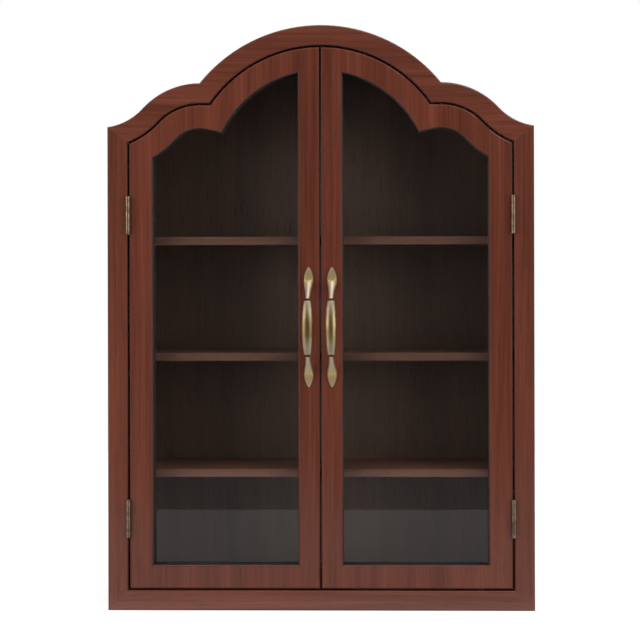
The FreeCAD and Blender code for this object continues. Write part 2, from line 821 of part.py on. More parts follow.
def build_pull():
    """Right bow pull: a swelling grip between two leaf-shaped feet, with a groove before each."""
    pieces = []
    for end, sign in (("upper", ""), ("lower", "-")):
        half = f"{sign}sizes.pull_length / 2"
        leaf = [
            pull_section(
                f"{end}_leaf{index}", f"{half} * {along}", f"sizes.leaf_width / 2 * {wide}", lift, roundness
            )
            for index, (along, wide, lift, roundness) in enumerate(LEAF_SECTION_SHARES)
        ]
        pieces.append(loft(f"{end}_leaf", leaf))
        lift_low = LEAF_SECTION_SHARES[-1][2]
        lift_high = GRIP_SECTION_SHARES[0][2]
        neck_radius = f"sizes.grip_width / 2 * {NECK_WIDTH_SHARE}"
        leaf_end = f"{half} * {LEAF_SECTION_SHARES[-1][0]}"
        grip_end = f"{sign}sizes.grip_length / 2"
        neck = [
            pull_section(f"{end}_neck0", leaf_end, neck_radius, lift_low, 1),
            pull_section(f"{end}_neck1", grip_end, neck_radius, lift_high, 1),
        ]
        pieces.append(loft(f"{end}_neck", neck))
    grip = []
    for end, sign in (("upper", ""), ("lower", "-")):
        row = [
            pull_section(
                f"{end}_grip{index}", f"{sign}sizes.grip_length / 2 * {along}",
                f"sizes.grip_width / 2 * {wide}", lift, roundness,
            )
            for index, (along, wide, lift, roundness) in enumerate(GRIP_SECTION_SHARES)
        ]
        grip.append(row)
    wide, lift, roundness = GRIP_MIDDLE_SHARES
    middle = pull_section("grip_middle", "0", f"sizes.grip_width / 2 * {wide}", lift, roundness)
    pieces.append(loft("grip", [*grip[0], middle, *reversed(grip[1])]))
    casting = fuse("pull_casting", pieces)
    below = block(
        "pull_trim", "derived.pull_out - sizes.leaf_width", "derived.door_back",
        "sizes.pull_height - sizes.pull_length", "2 * sizes.leaf_width", "sizes.door_thick",
        "2 * sizes.pull_length",
    )
    return cut("pull_on_door", casting, [below])


# Dowels, brads and screws of the carcass, each with its matching hole; right half only.

def arch_spot(offset, share):
    """Place on the arch at an offset, at a share of the angle from its middle to its end."""
    angle = f"derived.arch_angle * {share}"
    radius = f"(derived.arch_radius - {offset})"
    return f"{radius} * sin({angle})", f"derived.arch_centre + {radius} * cos({angle})"


def shoulder_spot(offset, share):
    """Place on the shoulder at an offset, at a share of the angle from its crest to its end."""
    angle = f"derived.shoulder_angle * {share}"
    radius = f"(sizes.shoulder_radius - {offset})"
    return (
        f"derived.arch_half_span + {radius} * sin({angle})",
        f"derived.shoulder_centre + {radius} * cos({angle})",
    )


def frame_dowel(name, across, height):
    """Dowel that runs half in the face frame and half in the carcass."""
    spot = (across, "derived.frame_back - sizes.frame_dowel_length / 2", height)
    return fastener(name, spot, "-Y", "sizes.dowel_radius", "sizes.frame_dowel_length")


def brad(name, across, height):
    """Brad through the back panel into the ledge in front of it."""
    spot = (across, "sizes.back_recess - sizes.brad_head_height", height)
    return fastener(
        name, spot, "-Y", "sizes.brad_radius", "sizes.brad_length",
        "sizes.brad_head_radius", "sizes.brad_head_height",
    )


def mitre_dowel(name, height, lean, side):
    """Dowel square to a mitre of the face frame and centred on it.

    It leans from upright by an angle, outwards on side 1 and inwards on side -1.
    """
    half = "sizes.mitre_dowel_length / 2"
    spot = (
        f"derived.half_width - sizes.frame_face / 2 - {side} * {half} * sin({lean})",
        "sizes.case_depth - sizes.frame_thick / 2",
        f"{height} - {half} * cos({lean})",
    )
    turn = Rotation(Vector(0, side, 0), value(lean))
    pair = fastener(name, spot, turn, "sizes.dowel_radius", "sizes.mitre_dowel_length")
    for thing in pair:
        bind(thing, {"Placement.Rotation.Angle": lean})
    return pair


def split(pairs):
    """Fasteners and their holes as two lists."""
    return [pair[0] for pair in pairs], [pair[1] for pair in pairs]


side_out = "derived.half_width - derived.roof_middle_offset"
ledge_out = "derived.half_width - derived.ledge_offset"
side_dowels, side_dowel_holes = split([
    frame_dowel(f"side_dowel{index}", side_out, f"sizes.side_height * {share}")
    for index, share in enumerate(SIDE_DOWEL_SHARES)
])
rail_dowel, rail_dowel_hole = frame_dowel(
    "rail_dowel", f"derived.half_width * {BOTTOM_DOWEL_SHARE}", "derived.bottom_middle"
)
arch_dowel, arch_dowel_hole = frame_dowel(
    "arch_dowel", *arch_spot("derived.roof_middle_offset", ARCH_DOWEL_SHARE)
)
shoulder_dowel, shoulder_dowel_hole = frame_dowel(
    "shoulder_dowel", *shoulder_spot("derived.roof_middle_offset", SHOULDER_DOWEL_SHARE)
)
bottom_dowels, bottom_dowel_holes = split([
    fastener(
        f"bottom_dowel_{name}",
        (
            "derived.inner_half_width + sizes.bottom_dowel_depth - sizes.bottom_dowel_length",
            depth,
            "derived.bottom_middle",
        ),
        "+X", "sizes.dowel_radius", "sizes.bottom_dowel_length",
    )
    for name, depth in (
        ("rear", "derived.back_front + sizes.bottom_dowel_inset"),
        ("front", "derived.frame_back - sizes.bottom_dowel_inset"),
    )
])
low_mitre_dowel, low_mitre_hole = mitre_dowel("low_mitre_dowel", "sizes.frame_face / 2", "45", 1)
top_mitre_drop = f"(sizes.side_height - ({cove_foot('sizes.frame_face')}))"
top_mitre_dowel, top_mitre_hole = mitre_dowel(
    "top_mitre_dowel", f"sizes.side_height - {top_mitre_drop} / 2",
    f"atan2({top_mitre_drop}; sizes.frame_face) / 1 deg", -1,
)
side_brads, side_brad_holes = split([
    brad(f"side_brad{index}", ledge_out, f"sizes.side_height * {share}")
    for index, share in enumerate(SIDE_BRAD_SHARES)
])
bottom_brads, bottom_brad_holes = split([
    brad(f"bottom_brad{index}", f"derived.half_width * {share}", "derived.bottom_middle")
    for index, share in enumerate(BOTTOM_BRAD_SHARES)
])
arch_brads, arch_brad_holes = split([
    brad(f"arch_brad{index}", *arch_spot("derived.ledge_offset", share))
    for index, share in enumerate(ARCH_BRAD_SHARES)
])
shoulder_brad, shoulder_brad_hole = brad(
    "shoulder_brad", *shoulder_spot("derived.ledge_offset", SHOULDER_BRAD_SHARE)
)
rail_screws = []
rail_screw_holes = []
for rail in HANGING_RAILS:
    height = f"derived.{rail}_low + sizes.{rail}_height / 2"
    screw, hole = fastener(
        f"{rail}_screw", (ledge_out, "sizes.rail_screw_recess", height), "-Y",
        "sizes.rail_screw_radius", "sizes.rail_screw_length",
        "sizes.rail_screw_head_radius", "sizes.rail_screw_head_height",
    )
    well = rod(
        f"{rail}_screw_well", "sizes.rail_screw_head_radius + sizes.fastener_clearance",
        "sizes.rail_screw_recess", ledge_out, "0", height, TURNS["-Y"],
    )
    rail_screws.append(screw)
    rail_screw_holes.append(fuse(f"{rail}_screw_bore", [hole, well]))

# Butt hinges of the right door: two leaves, a pin and four screws each.

HINGE_AXIS = ("derived.hinge_axis_out", "derived.hinge_axis_depth")


def hinge_leaf(name, middle, seat, face, own, axis):
    """Leaf of a butt hinge with some of its knuckles, and its screws with their holes.

    The leaf grows outwards from its seat; its screws start at its open face and run along an axis.
    """
    low = f"{middle} - sizes.hinge_length / 2"
    plate = block(
        f"{name}_plate", seat, "derived.hinge_axis_depth - sizes.hinge_leaf_width", low,
        "sizes.hinge_leaf_thick", "sizes.hinge_leaf_width", "sizes.hinge_length",
    )
    knuckles = []
    notches = []
    for number in range(KNUCKLES):
        foot = f"{low} + derived.knuckle_length * {number}"
        if number in own:
            knuckles.append(rod(
                f"{name}_knuckle{number}", "sizes.hinge_barrel_radius",
                "derived.knuckle_length - sizes.knuckle_clearance", *HINGE_AXIS,
                f"{foot} + sizes.knuckle_clearance / 2", TURNS["+Z"],
            ))
        else:
            notches.append(rod(
                f"{name}_notch{number}", "sizes.hinge_barrel_radius + sizes.knuckle_clearance",
                "derived.knuckle_length", *HINGE_AXIS, foot, TURNS["+Z"],
            ))
    bore = rod(
        f"{name}_bore", "sizes.hinge_pin_radius + sizes.hinge_pin_clearance",
        "sizes.hinge_length + 2 * sizes.cut_overrun", *HINGE_AXIS, f"{low} - sizes.cut_overrun", TURNS["+Z"],
    )
    screws, holes = split([
        fastener(
            f"{name}_screw{index}",
            (
                face,
                "derived.hinge_axis_depth - sizes.hinge_screw_inset",
                f"{middle} {sign} sizes.hinge_screw_spacing / 2",
            ),
            axis, "sizes.hinge_screw_radius", "sizes.hinge_screw_length",
            "sizes.hinge_screw_head_radius", "sizes.hinge_leaf_thick", flat=True,
        )
        for index, sign in enumerate("+-")
    ])
    notched = cut(f"{name}_notched", fuse(f"{name}_blank", [plate, *knuckles]), notches)
    return cut(name, notched, [bore, *holes]), screws, holes


stile_face = "derived.hinge_axis_out + sizes.door_gap / 2 - sizes.hinge_leaf_thick"
door_edge = "derived.hinge_axis_out - sizes.door_gap / 2"
frame_leaves = {}
door_leaves = {}
hinge_pins = []
frame_screws = []
frame_screw_holes = []
door_screws = []
door_screw_holes = []
for end in ("upper", "lower"):
    middle = f"sizes.{end}_hinge_height"
    frame_leaves[end], screws, holes = hinge_leaf(
        f"{end}_frame_leaf", middle, stile_face, stile_face, range(0, KNUCKLES, 2), "+X"
    )
    frame_screws.extend(screws)
    frame_screw_holes.extend(holes)
    door_leaves[end], screws, holes = hinge_leaf(
        f"{end}_door_leaf", middle, door_edge, f"{door_edge} + sizes.hinge_leaf_thick",
        range(1, KNUCKLES, 2), "-X",
    )
    door_screws.extend(screws)
    door_screw_holes.extend(holes)
    hinge_pins.append(rod(
        f"{end}_hinge_pin", "sizes.hinge_pin_radius", "sizes.hinge_length", *HINGE_AXIS,
        f"{middle} - sizes.hinge_length / 2", TURNS["+Z"],
    ))

# Face frame and carcass.

top_rail_tools = both([top_mitre_hole, arch_dowel_hole, shoulder_dowel_hole])
node("frame_top_rail", cut("top_rail", build_top_rail(), top_rail_tools))
stile = cut(
    "stile", build_stile(), [top_mitre_hole, low_mitre_hole, *side_dowel_holes, *frame_screw_holes]
)
node("frame_right_stile", stile)
node("frame_left_stile", mirrored("left_stile", stile))
node(
    "frame_bottom_rail",
    cut("bottom_rail", build_bottom_rail(), both([low_mitre_hole, rail_dowel_hole])),
)

rebate = build_outline_plate(
    "rebate", "derived.rim_offset", "derived.bottom_low", "0", "derived.back_front"
)
shelf_heights = [
    f"sizes.frame_face + sizes.lowest_bay_height + sizes.shelf_pitch * {index}"
    for index in range(len(SHELVES))
]
shelf_depth = "derived.frame_back - sizes.shelf_setback - derived.back_front"
housings = [
    block(
        f"housing{index}", "derived.inner_half_width", "derived.back_front", height, "sizes.housing_depth",
        f"{shelf_depth} + sizes.housing_clearance", "sizes.shelf_thick + sizes.housing_clearance",
    )
    for index, height in enumerate(shelf_heights)
]
rebated_side = cut("rebated_side", build_side(), [rebate])
side = cut(
    "side", rebated_side,
    [*housings, *bottom_dowel_holes, *side_dowel_holes, *side_brad_holes, *rail_screw_holes],
)
node("right_side_panel", side)
node("left_side_panel", mirrored("left_side", side))

catch_screw, catch_screw_hole = fastener(
    "catch_screw",
    (
        "sizes.catch_screw_spacing / 2",
        "derived.catch_front - sizes.catch_depth / 2",
        "sizes.frame_face + sizes.catch_height",
    ),
    "-Z", "sizes.catch_screw_radius", "sizes.catch_screw_length",
    "sizes.catch_screw_head_radius", "sizes.catch_screw_head_height",
)
bottom = block(
    "bottom_board", "-derived.inner_half_width", "derived.back_front", "derived.bottom_low",
    "2 * derived.inner_half_width", "derived.frame_back - derived.back_front", "sizes.panel_thick",
)
bottom_holes = [*bottom_dowel_holes, rail_dowel_hole, *bottom_brad_holes, catch_screw_hole]
node("bottom_panel", cut("bottom", bottom, both(bottom_holes)))
node(
    "roof_arch",
    cut(
        "arch_roof", cut("rebated_arch", build_roof_arch(), [rebate]),
        both([*arch_brad_holes, arch_dowel_hole]),
    ),
)
shoulder_roof = cut(
    "shoulder_roof", cut("rebated_shoulder", build_roof_shoulder(), [rebate]),
    [shoulder_brad_hole, shoulder_dowel_hole],
)
node("right_roof_shoulder", shoulder_roof)
node("left_roof_shoulder", mirrored("left_shoulder_roof", shoulder_roof))

back = build_outline_plate(
    "back", "derived.back_offset", "derived.bottom_low", "sizes.back_recess", "sizes.back_thick"
)
back_holes = [
    *side_brad_holes, *bottom_brad_holes, *arch_brad_holes, shoulder_brad_hole, *rail_screw_holes,
]
node("back_panel", cut("back", back, both(back_holes)))

shelf_reach = "(derived.inner_half_width + sizes.housing_depth - sizes.housing_clearance)"
for name, height in zip(SHELVES, shelf_heights):
    node(name, block(
        f"{name}_board", f"-{shelf_reach}", "derived.back_front", height, f"2 * {shelf_reach}",
        shelf_depth, "sizes.shelf_thick",
    ))

frame_dowels = [*side_dowels, rail_dowel, arch_dowel, shoulder_dowel]
node("frame_dowels", group("all_frame_dowels", both(frame_dowels)))
node("frame_mitre_dowels", group("all_mitre_dowels", both([low_mitre_dowel, top_mitre_dowel])))
node("bottom_dowels", group("all_bottom_dowels", both(bottom_dowels)))
back_brads = [*side_brads, *bottom_brads, *arch_brads, shoulder_brad]
node("back_brads", group("all_back_brads", both(back_brads)))

# Two hanging rails with a keyhole hanger plate across each end of the pair, flush with the wall plane.
# The gap between the rails takes the wall screws' heads.

hanger_low = "derived.hanger_height - sizes.hanger_drop"
hanger_left = "derived.hanger_out - sizes.hanger_width / 2"
hanger_blank = block(
    "hanger_blank", hanger_left, "0", hanger_low, "sizes.hanger_width", "sizes.hanger_thick",
    "sizes.hanger_length",
)
through = "sizes.hanger_thick + 2 * sizes.cut_overrun"
behind = "-sizes.cut_overrun"
slot_top = "derived.hanger_height + sizes.keyhole_slot_rise"
keyhole = fuse("keyhole", [
    rod(
        "keyhole_entry", "sizes.keyhole_radius", through, "derived.hanger_out", behind,
        "derived.hanger_height", TURNS["-Y"],
    ),
    rod(
        "keyhole_end", "sizes.keyhole_slot_radius", through, "derived.hanger_out", behind, slot_top,
        TURNS["-Y"],
    ),
    block(
        "keyhole_slot", "derived.hanger_out - sizes.keyhole_slot_radius", behind, "derived.hanger_height",
        "2 * sizes.keyhole_slot_radius", through, "sizes.keyhole_slot_rise",
    ),
])
hanger_screws, hanger_screw_holes = split([
    fastener(
        f"hanger_screw_{name}", ("derived.hanger_out", "0", height), "-Y",
        "sizes.hanger_screw_radius", "sizes.hanger_screw_length",
        "sizes.hanger_screw_head_radius", "sizes.hanger_thick", flat=True,
    )
    for name, height in (
        ("low", f"{hanger_low} + sizes.hanger_screw_inset"),
        ("high", f"{hanger_low} + sizes.hanger_length - sizes.hanger_screw_inset"),
    )
])
hanger = cut("hanger", hanger_blank, [keyhole, *hanger_screw_holes])
node("right_hanger_plate", hanger)
node("left_hanger_plate", mirrored("left_hanger", hanger))
rail_half = "(derived.half_width - derived.back_offset)"
for rail, hanger_hole, end_hole in zip(HANGING_RAILS, hanger_screw_holes, rail_screw_holes):
    rail_blank = block(
        f"{rail}_blank", f"-{rail_half}", "sizes.hanger_thick", f"derived.{rail}_low", f"2 * {rail_half}",
        "sizes.back_recess - sizes.hanger_thick", f"sizes.{rail}_height",
    )
    node(f"hanging_{rail}", cut(rail, rail_blank, both([hanger_hole, end_hole])))
node("hanger_screws", group("all_hanger_screws", both(hanger_screws)))
node("rail_screws", group("all_rail_screws", both(rail_screws)))

# Double magnetic catch on the bottom panel, behind the doors' meeting stiles.

catch_blank = block(
    "catch_blank", "-sizes.catch_width / 2", "derived.catch_front - sizes.catch_depth", "sizes.frame_face",
    "sizes.catch_width", "sizes.catch_depth", "sizes.catch_height",
)
magnet = block(
    "magnet", "(sizes.magnet_spacing - sizes.magnet_width) / 2",
    "derived.catch_front + sizes.magnet_proud - sizes.magnet_length",
    "derived.strike_middle - sizes.magnet_height / 2",
    "sizes.magnet_width", "sizes.magnet_length", "sizes.magnet_height",
)
node("catch_housing", cut("catch", catch_blank, both([magnet, catch_screw_hole])))
node("catch_magnets", group("all_magnets", both([magnet])))
node("catch_screws", group("all_catch_screws", both([catch_screw])))

# Hinges, frame side: leaves, pins and screws stay with the cabinet.

for end, leaf in frame_leaves.items():
    node(f"right_{end}_hinge_frame_leaf", leaf)
    node(f"left_{end}_hinge_frame_leaf", mirrored(f"left_{end}_frame_leaf", leaf))
node("hinge_pins", group("all_hinge_pins", both(hinge_pins)))
node("frame_hinge_screws", group("all_frame_hinge_screws", both(frame_screws)))

# Doors.

pull_screws, pull_screw_holes = split([
    fastener(
        f"pull_screw{index}",
        (
            "derived.pull_out",
            "derived.door_back - sizes.pull_screw_head_height",
            f"sizes.pull_height {sign} sizes.pull_centres / 2",
        ),
        "-Y", "sizes.pull_screw_radius", "sizes.door_thick + sizes.pull_screw_depth",
        "sizes.pull_screw_head_radius", "sizes.pull_screw_head_height",
    )
    for index, sign in enumerate("+-")
])
opening_side = "derived.half_width - derived.opening_offset"
pin_size = ("sizes.bead_pin_radius", "sizes.bead_pin_length")
pin_pairs = []
for index, share in enumerate(BEAD_SIDE_SHARES):
    height = f"derived.opening_offset + (sizes.side_height - 2 * derived.opening_offset) * {share}"
    outer_spot = (opening_side, "derived.bead_middle", height)
    inner_spot = ("derived.opening_edge", "derived.bead_middle", height)
    pin_pairs.append(fastener(f"bead_outer_pin{index}", outer_spot, "+X", *pin_size))
    pin_pairs.append(fastener(f"bead_inner_pin{index}", inner_spot, "-X", *pin_size))
for index, share in enumerate(BEAD_BOTTOM_SHARES):
    across = f"derived.opening_edge + ({opening_side} - derived.opening_edge) * {share}"
    low_spot = (across, "derived.bead_middle", "derived.opening_offset")
    pin_pairs.append(fastener(f"bead_low_pin{index}", low_spot, "-Z", *pin_size))
bead_pins, bead_pin_holes = split(pin_pairs)
strike_blank = block(
    "strike_blank", "(sizes.magnet_spacing - sizes.strike_width) / 2",
    "derived.door_back - sizes.strike_thick", "derived.strike_low",
    "sizes.strike_width", "sizes.strike_thick", "sizes.strike_height",
)
strike_screw, strike_screw_hole = fastener(
    "strike_screw",
    ("sizes.magnet_spacing / 2", "derived.door_back - sizes.strike_thick", "derived.strike_middle"),
    "-Y", "sizes.strike_screw_radius", "sizes.strike_screw_length",
    "sizes.strike_screw_head_radius", "sizes.strike_thick", flat=True,
)
door_tools = [*pull_screw_holes, *door_screw_holes, *bead_pin_holes, strike_screw_hole]
door_pieces = {
    "door_frame": cut("door_frame", build_door_frame(), door_tools),
    "glass_pane": build_glass(),
    "glazing_bead": cut("bead", build_bead(), bead_pin_holes),
    "bead_pins": group("right_bead_pins", bead_pins),
    "pull": cut("pull", build_pull(), pull_screw_holes),
    "pull_screws": group("right_pull_screws", pull_screws),
    "upper_hinge_door_leaf": door_leaves["upper"],
    "lower_hinge_door_leaf": door_leaves["lower"],
    "door_hinge_screws": group("right_door_hinge_screws", door_screws),
    "strike_plate": cut("strike", strike_blank, [strike_screw_hole]),
    "strike_screw": strike_screw,
}
for name, piece in door_pieces.items():
    node(f"right_{name}", piece)
    node(f"left_{name}", mirrored(f"left_{name}", piece))

doc.recompute()

# Every object must have come out whole before anything is written.
for thing in doc.Objects:
    if "Invalid" in thing.State or "Error" in thing.State:
        raise RuntimeError(f"{thing.Name} failed: {thing.State}")
for piece in nodes:
    if piece.Shape.isNull() or not piece.Shape.isValid():
        raise RuntimeError(f"{piece.Label} has no valid shape")

os.makedirs("parts", exist_ok=True)
for piece in nodes:
    piece.Shape.exportStep(f"parts/{piece.Label}.step")
    print(f"{piece.Label}: {len(piece.Shape.Solids)} solids, {piece.Shape.Volume:.1f} mm3")
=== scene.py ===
"""Glass wall cabinet: finishes for every piece, finer screws and pulls, and the studio round them.

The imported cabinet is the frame, in metres: +X to the right, -Y out of the front, +Z up, with the origin on
the wall plane midway between the keyhole hangers.
"""

from __future__ import annotations

import json
import logging
import math
from collections.abc import Callable, Iterable
from dataclasses import dataclass, field
from enum import Enum
from typing import Any

import bpy
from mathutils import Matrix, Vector

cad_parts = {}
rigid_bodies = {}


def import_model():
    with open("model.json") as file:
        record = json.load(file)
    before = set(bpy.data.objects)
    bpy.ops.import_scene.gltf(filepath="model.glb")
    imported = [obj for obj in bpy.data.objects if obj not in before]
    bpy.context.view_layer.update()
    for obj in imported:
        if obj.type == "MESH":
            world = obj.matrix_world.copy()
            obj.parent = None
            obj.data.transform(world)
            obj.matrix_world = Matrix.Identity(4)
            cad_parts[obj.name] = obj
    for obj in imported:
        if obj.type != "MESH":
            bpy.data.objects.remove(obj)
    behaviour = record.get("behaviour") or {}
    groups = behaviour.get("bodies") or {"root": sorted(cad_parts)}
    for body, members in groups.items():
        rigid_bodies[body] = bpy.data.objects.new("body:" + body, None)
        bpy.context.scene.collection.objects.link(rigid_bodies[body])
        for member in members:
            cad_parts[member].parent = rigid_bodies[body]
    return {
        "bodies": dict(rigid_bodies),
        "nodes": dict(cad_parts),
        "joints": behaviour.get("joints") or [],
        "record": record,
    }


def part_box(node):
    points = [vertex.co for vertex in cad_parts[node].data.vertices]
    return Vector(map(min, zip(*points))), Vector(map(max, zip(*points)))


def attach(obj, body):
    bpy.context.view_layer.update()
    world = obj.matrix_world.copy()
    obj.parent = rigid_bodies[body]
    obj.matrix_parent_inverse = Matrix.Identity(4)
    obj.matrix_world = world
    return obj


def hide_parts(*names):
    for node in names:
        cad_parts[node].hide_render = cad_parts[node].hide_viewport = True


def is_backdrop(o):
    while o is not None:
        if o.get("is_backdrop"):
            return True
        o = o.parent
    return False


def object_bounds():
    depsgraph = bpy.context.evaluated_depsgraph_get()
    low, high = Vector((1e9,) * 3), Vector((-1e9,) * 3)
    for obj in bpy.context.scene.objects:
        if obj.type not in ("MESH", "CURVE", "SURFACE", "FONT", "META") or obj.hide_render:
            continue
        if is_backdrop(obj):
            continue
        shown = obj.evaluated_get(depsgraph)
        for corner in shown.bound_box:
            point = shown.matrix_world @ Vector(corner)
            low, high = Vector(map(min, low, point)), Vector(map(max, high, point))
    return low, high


LOG = logging.getLogger("cabinet")
MM = 0.001
HALF = 0.5
QUARTER_TURN = math.pi / 2

Color = tuple[float, float, float]
Place = tuple[float, float, float]
Pair = tuple[float, float]
Stops = tuple[Pair, ...]
Box = tuple[Place, Place]
Material = bpy.types.Material
Mesh = bpy.types.Object
Node = bpy.types.Node
Socket = bpy.types.NodeSocket

WHITE: Color = (1.0, 1.0, 1.0)
PLANK_WAY: Place = (1.0, 0.37, 0.61)


class Grain(Enum):
    """Way a board's grain runs, as the turn that lays it along X."""

    ACROSS = (0.0, 0.0, 0.0)
    UPRIGHT = (0.0, QUARTER_TURN, 0.0)
    INWARD = (0.0, 0.0, QUARTER_TURN)


class Side(Enum):
    """Side of the cabinet, as the sign of X there."""

    RIGHT = 1
    LEFT = -1

    @property
    def word(self) -> str:
        """The side's word in the names of its pieces."""
        return self.name.lower()


@dataclass(frozen=True)
class Pattern:
    """Noise: its cells per metre along each axis, its layers of detail and how rough these are."""

    cells: Place
    detail: float = 2.0
    roughness: float = 0.5


class NodeBench:
    """Adds nodes to one shader tree and joins them.

    A Mix node has sockets for every kind of value; the numbers here are those for colours.
    """

    mix_inputs = (0, 6, 7)
    mix_output = 2

    def __init__(self, tree: bpy.types.NodeTree) -> None:
        """Keep the tree to work on."""
        self.tree = tree

    def add(self, kind: str, values: dict[str | int, Any] | None = None, **settings: Any) -> Node:
        """Add one node.

        Args:
            kind: the node's type without the ShaderNode in front.
            values: by input name or number, a plain value or the output to join to it.
            settings: the node's own options.

        Returns:
            The node.
        """
        node = self.tree.nodes.new(f"ShaderNode{kind}")
        for name, value in settings.items():
            setattr(node, name, value)
        for name, value in (values or {}).items():
            self.feed(node.inputs[name], value)
        return node

    def find(self, kind: str) -> Node:
        """The tree's first node of a kind."""
        return next(node for node in self.tree.nodes if node.type == kind)

    def feed(self, target: Socket, value: Any) -> None:
        """Join an output to an input, or set the input to a plain value."""
        if isinstance(value, bpy.types.NodeSocket):
            self.tree.links.new(value, target)
        elif target.type == "RGBA" and len(value) == 3:
            target.default_value = (*value, 1.0)
        else:
            target.default_value = value

    def math(self, operation: str, first: Any, second: Any = 0.0, clamp: bool = False) -> Socket:
        """Sum, product or other operation on two numbers."""
        node = self.add("Math", {0: first, 1: second}, operation=operation, use_clamp=clamp)
        return node.outputs[0]

    def weighted(self, *parts: tuple[Socket, float]) -> Socket:
        """Sum of values, each times its weight."""
        products = [self.math("MULTIPLY", value, weight) for value, weight in parts]
        total = products[0]
        for product in products[1:]:
            total = self.math("ADD", total, product)
        return total

    def clouds(self, vector: Socket, cells: Any, detail: float, **more: float) -> Socket:
        """Noise with the same number of cells per metre along each axis."""
        values = {"Vector": vector, "Scale": cells, "Detail": detail, **more}
        return self.add("TexNoise", values).outputs["Fac"]

    def noise(self, vector: Socket, pattern: Pattern) -> Socket:
        """Noise of a pattern."""
        scaled = self.add("VectorMath", {0: vector, 1: pattern.cells}, operation="MULTIPLY").outputs[0]
        return self.clouds(scaled, 1.0, pattern.detail, Roughness=pattern.roughness)

    def span(self, value: Socket, low: float, high: float, to_low: Any = 0.0, to_high: Any = 1.0) -> Socket:
        """A value carried from one range to another, held at its ends."""
        values = {"Value": value, "From Min": low, "From Max": high, "To Min": to_low, "To Max": to_high}
        return self.add("MapRange", values).outputs["Result"]

    def ramp(self, value: Socket, stops: Stops) -> Socket:
        """A grey that eases from stop to stop, each a value from 0 to 1 and its grey."""
        node = self.add("ValToRGB", {"Fac": value})
        node.color_ramp.interpolation = "EASE"
        elements = node.color_ramp.elements
        while len(elements) < len(stops):
            elements.new(1.0)
        for element, (spot, grey) in zip(elements, stops):
            element.position = spot
            element.color = (grey, grey, grey, 1.0)
        return node.outputs["Color"]

    def blend(self, share: Any, first: Any, second: Any, how: str = "MIX") -> Socket:
        """Two colours mixed by a share."""
        node = self.add("Mix", data_type="RGBA", blend_type=how)
        for number, value in zip(self.mix_inputs, (share, first, second)):
            self.feed(node.inputs[number], value)
        return node.outputs[self.mix_output]


class Effect:
    """A shader node group with named inputs and outputs, built once."""

    title = ""
    takes: tuple[tuple[str, str], ...] = ()
    gives: tuple[tuple[str, str], ...] = ()

    @classmethod
    def group(cls) -> bpy.types.NodeTree:
        """The group, made the first time that it is asked for."""
        found = bpy.data.node_groups.get(cls.title)
        return found if found else cls._build()

    @classmethod
    def _build(cls) -> bpy.types.NodeTree:
        """Make the group, its sockets and its nodes."""
        tree = bpy.data.node_groups.new(cls.title, "ShaderNodeTree")
        for way, sockets in (("INPUT", cls.takes), ("OUTPUT", cls.gives)):
            for name, kind in sockets:
                tree.interface.new_socket(name, in_out=way, socket_type=f"NodeSocket{kind}")
        entry = tree.nodes.new("NodeGroupInput")
        close = tree.nodes.new("NodeGroupOutput")
        results = cls.effect(NodeBench(tree), entry.outputs)
        for name, socket in results.items():
            tree.links.new(socket, close.inputs[name])
        return tree

    @classmethod
    def effect(cls, bench: NodeBench, given: Any) -> dict[str, Socket]:
        """The group's own nodes.

        Args:
            bench: the bench of the group's tree.
            given: the group's inputs, by name.

        Returns:
            The output for each of the group's results, by name.
        """
        raise NotImplementedError

    @classmethod
    def place(cls, bench: NodeBench, values: dict[str, Any]) -> Any:
        """Put the effect into a material with its own values, and give its outputs by name."""
        node = bench.tree.nodes.new("ShaderNodeGroup")
        node.node_tree = cls.group()
        for name, value in values.items():
            bench.feed(node.inputs[name], value)
        return node.outputs


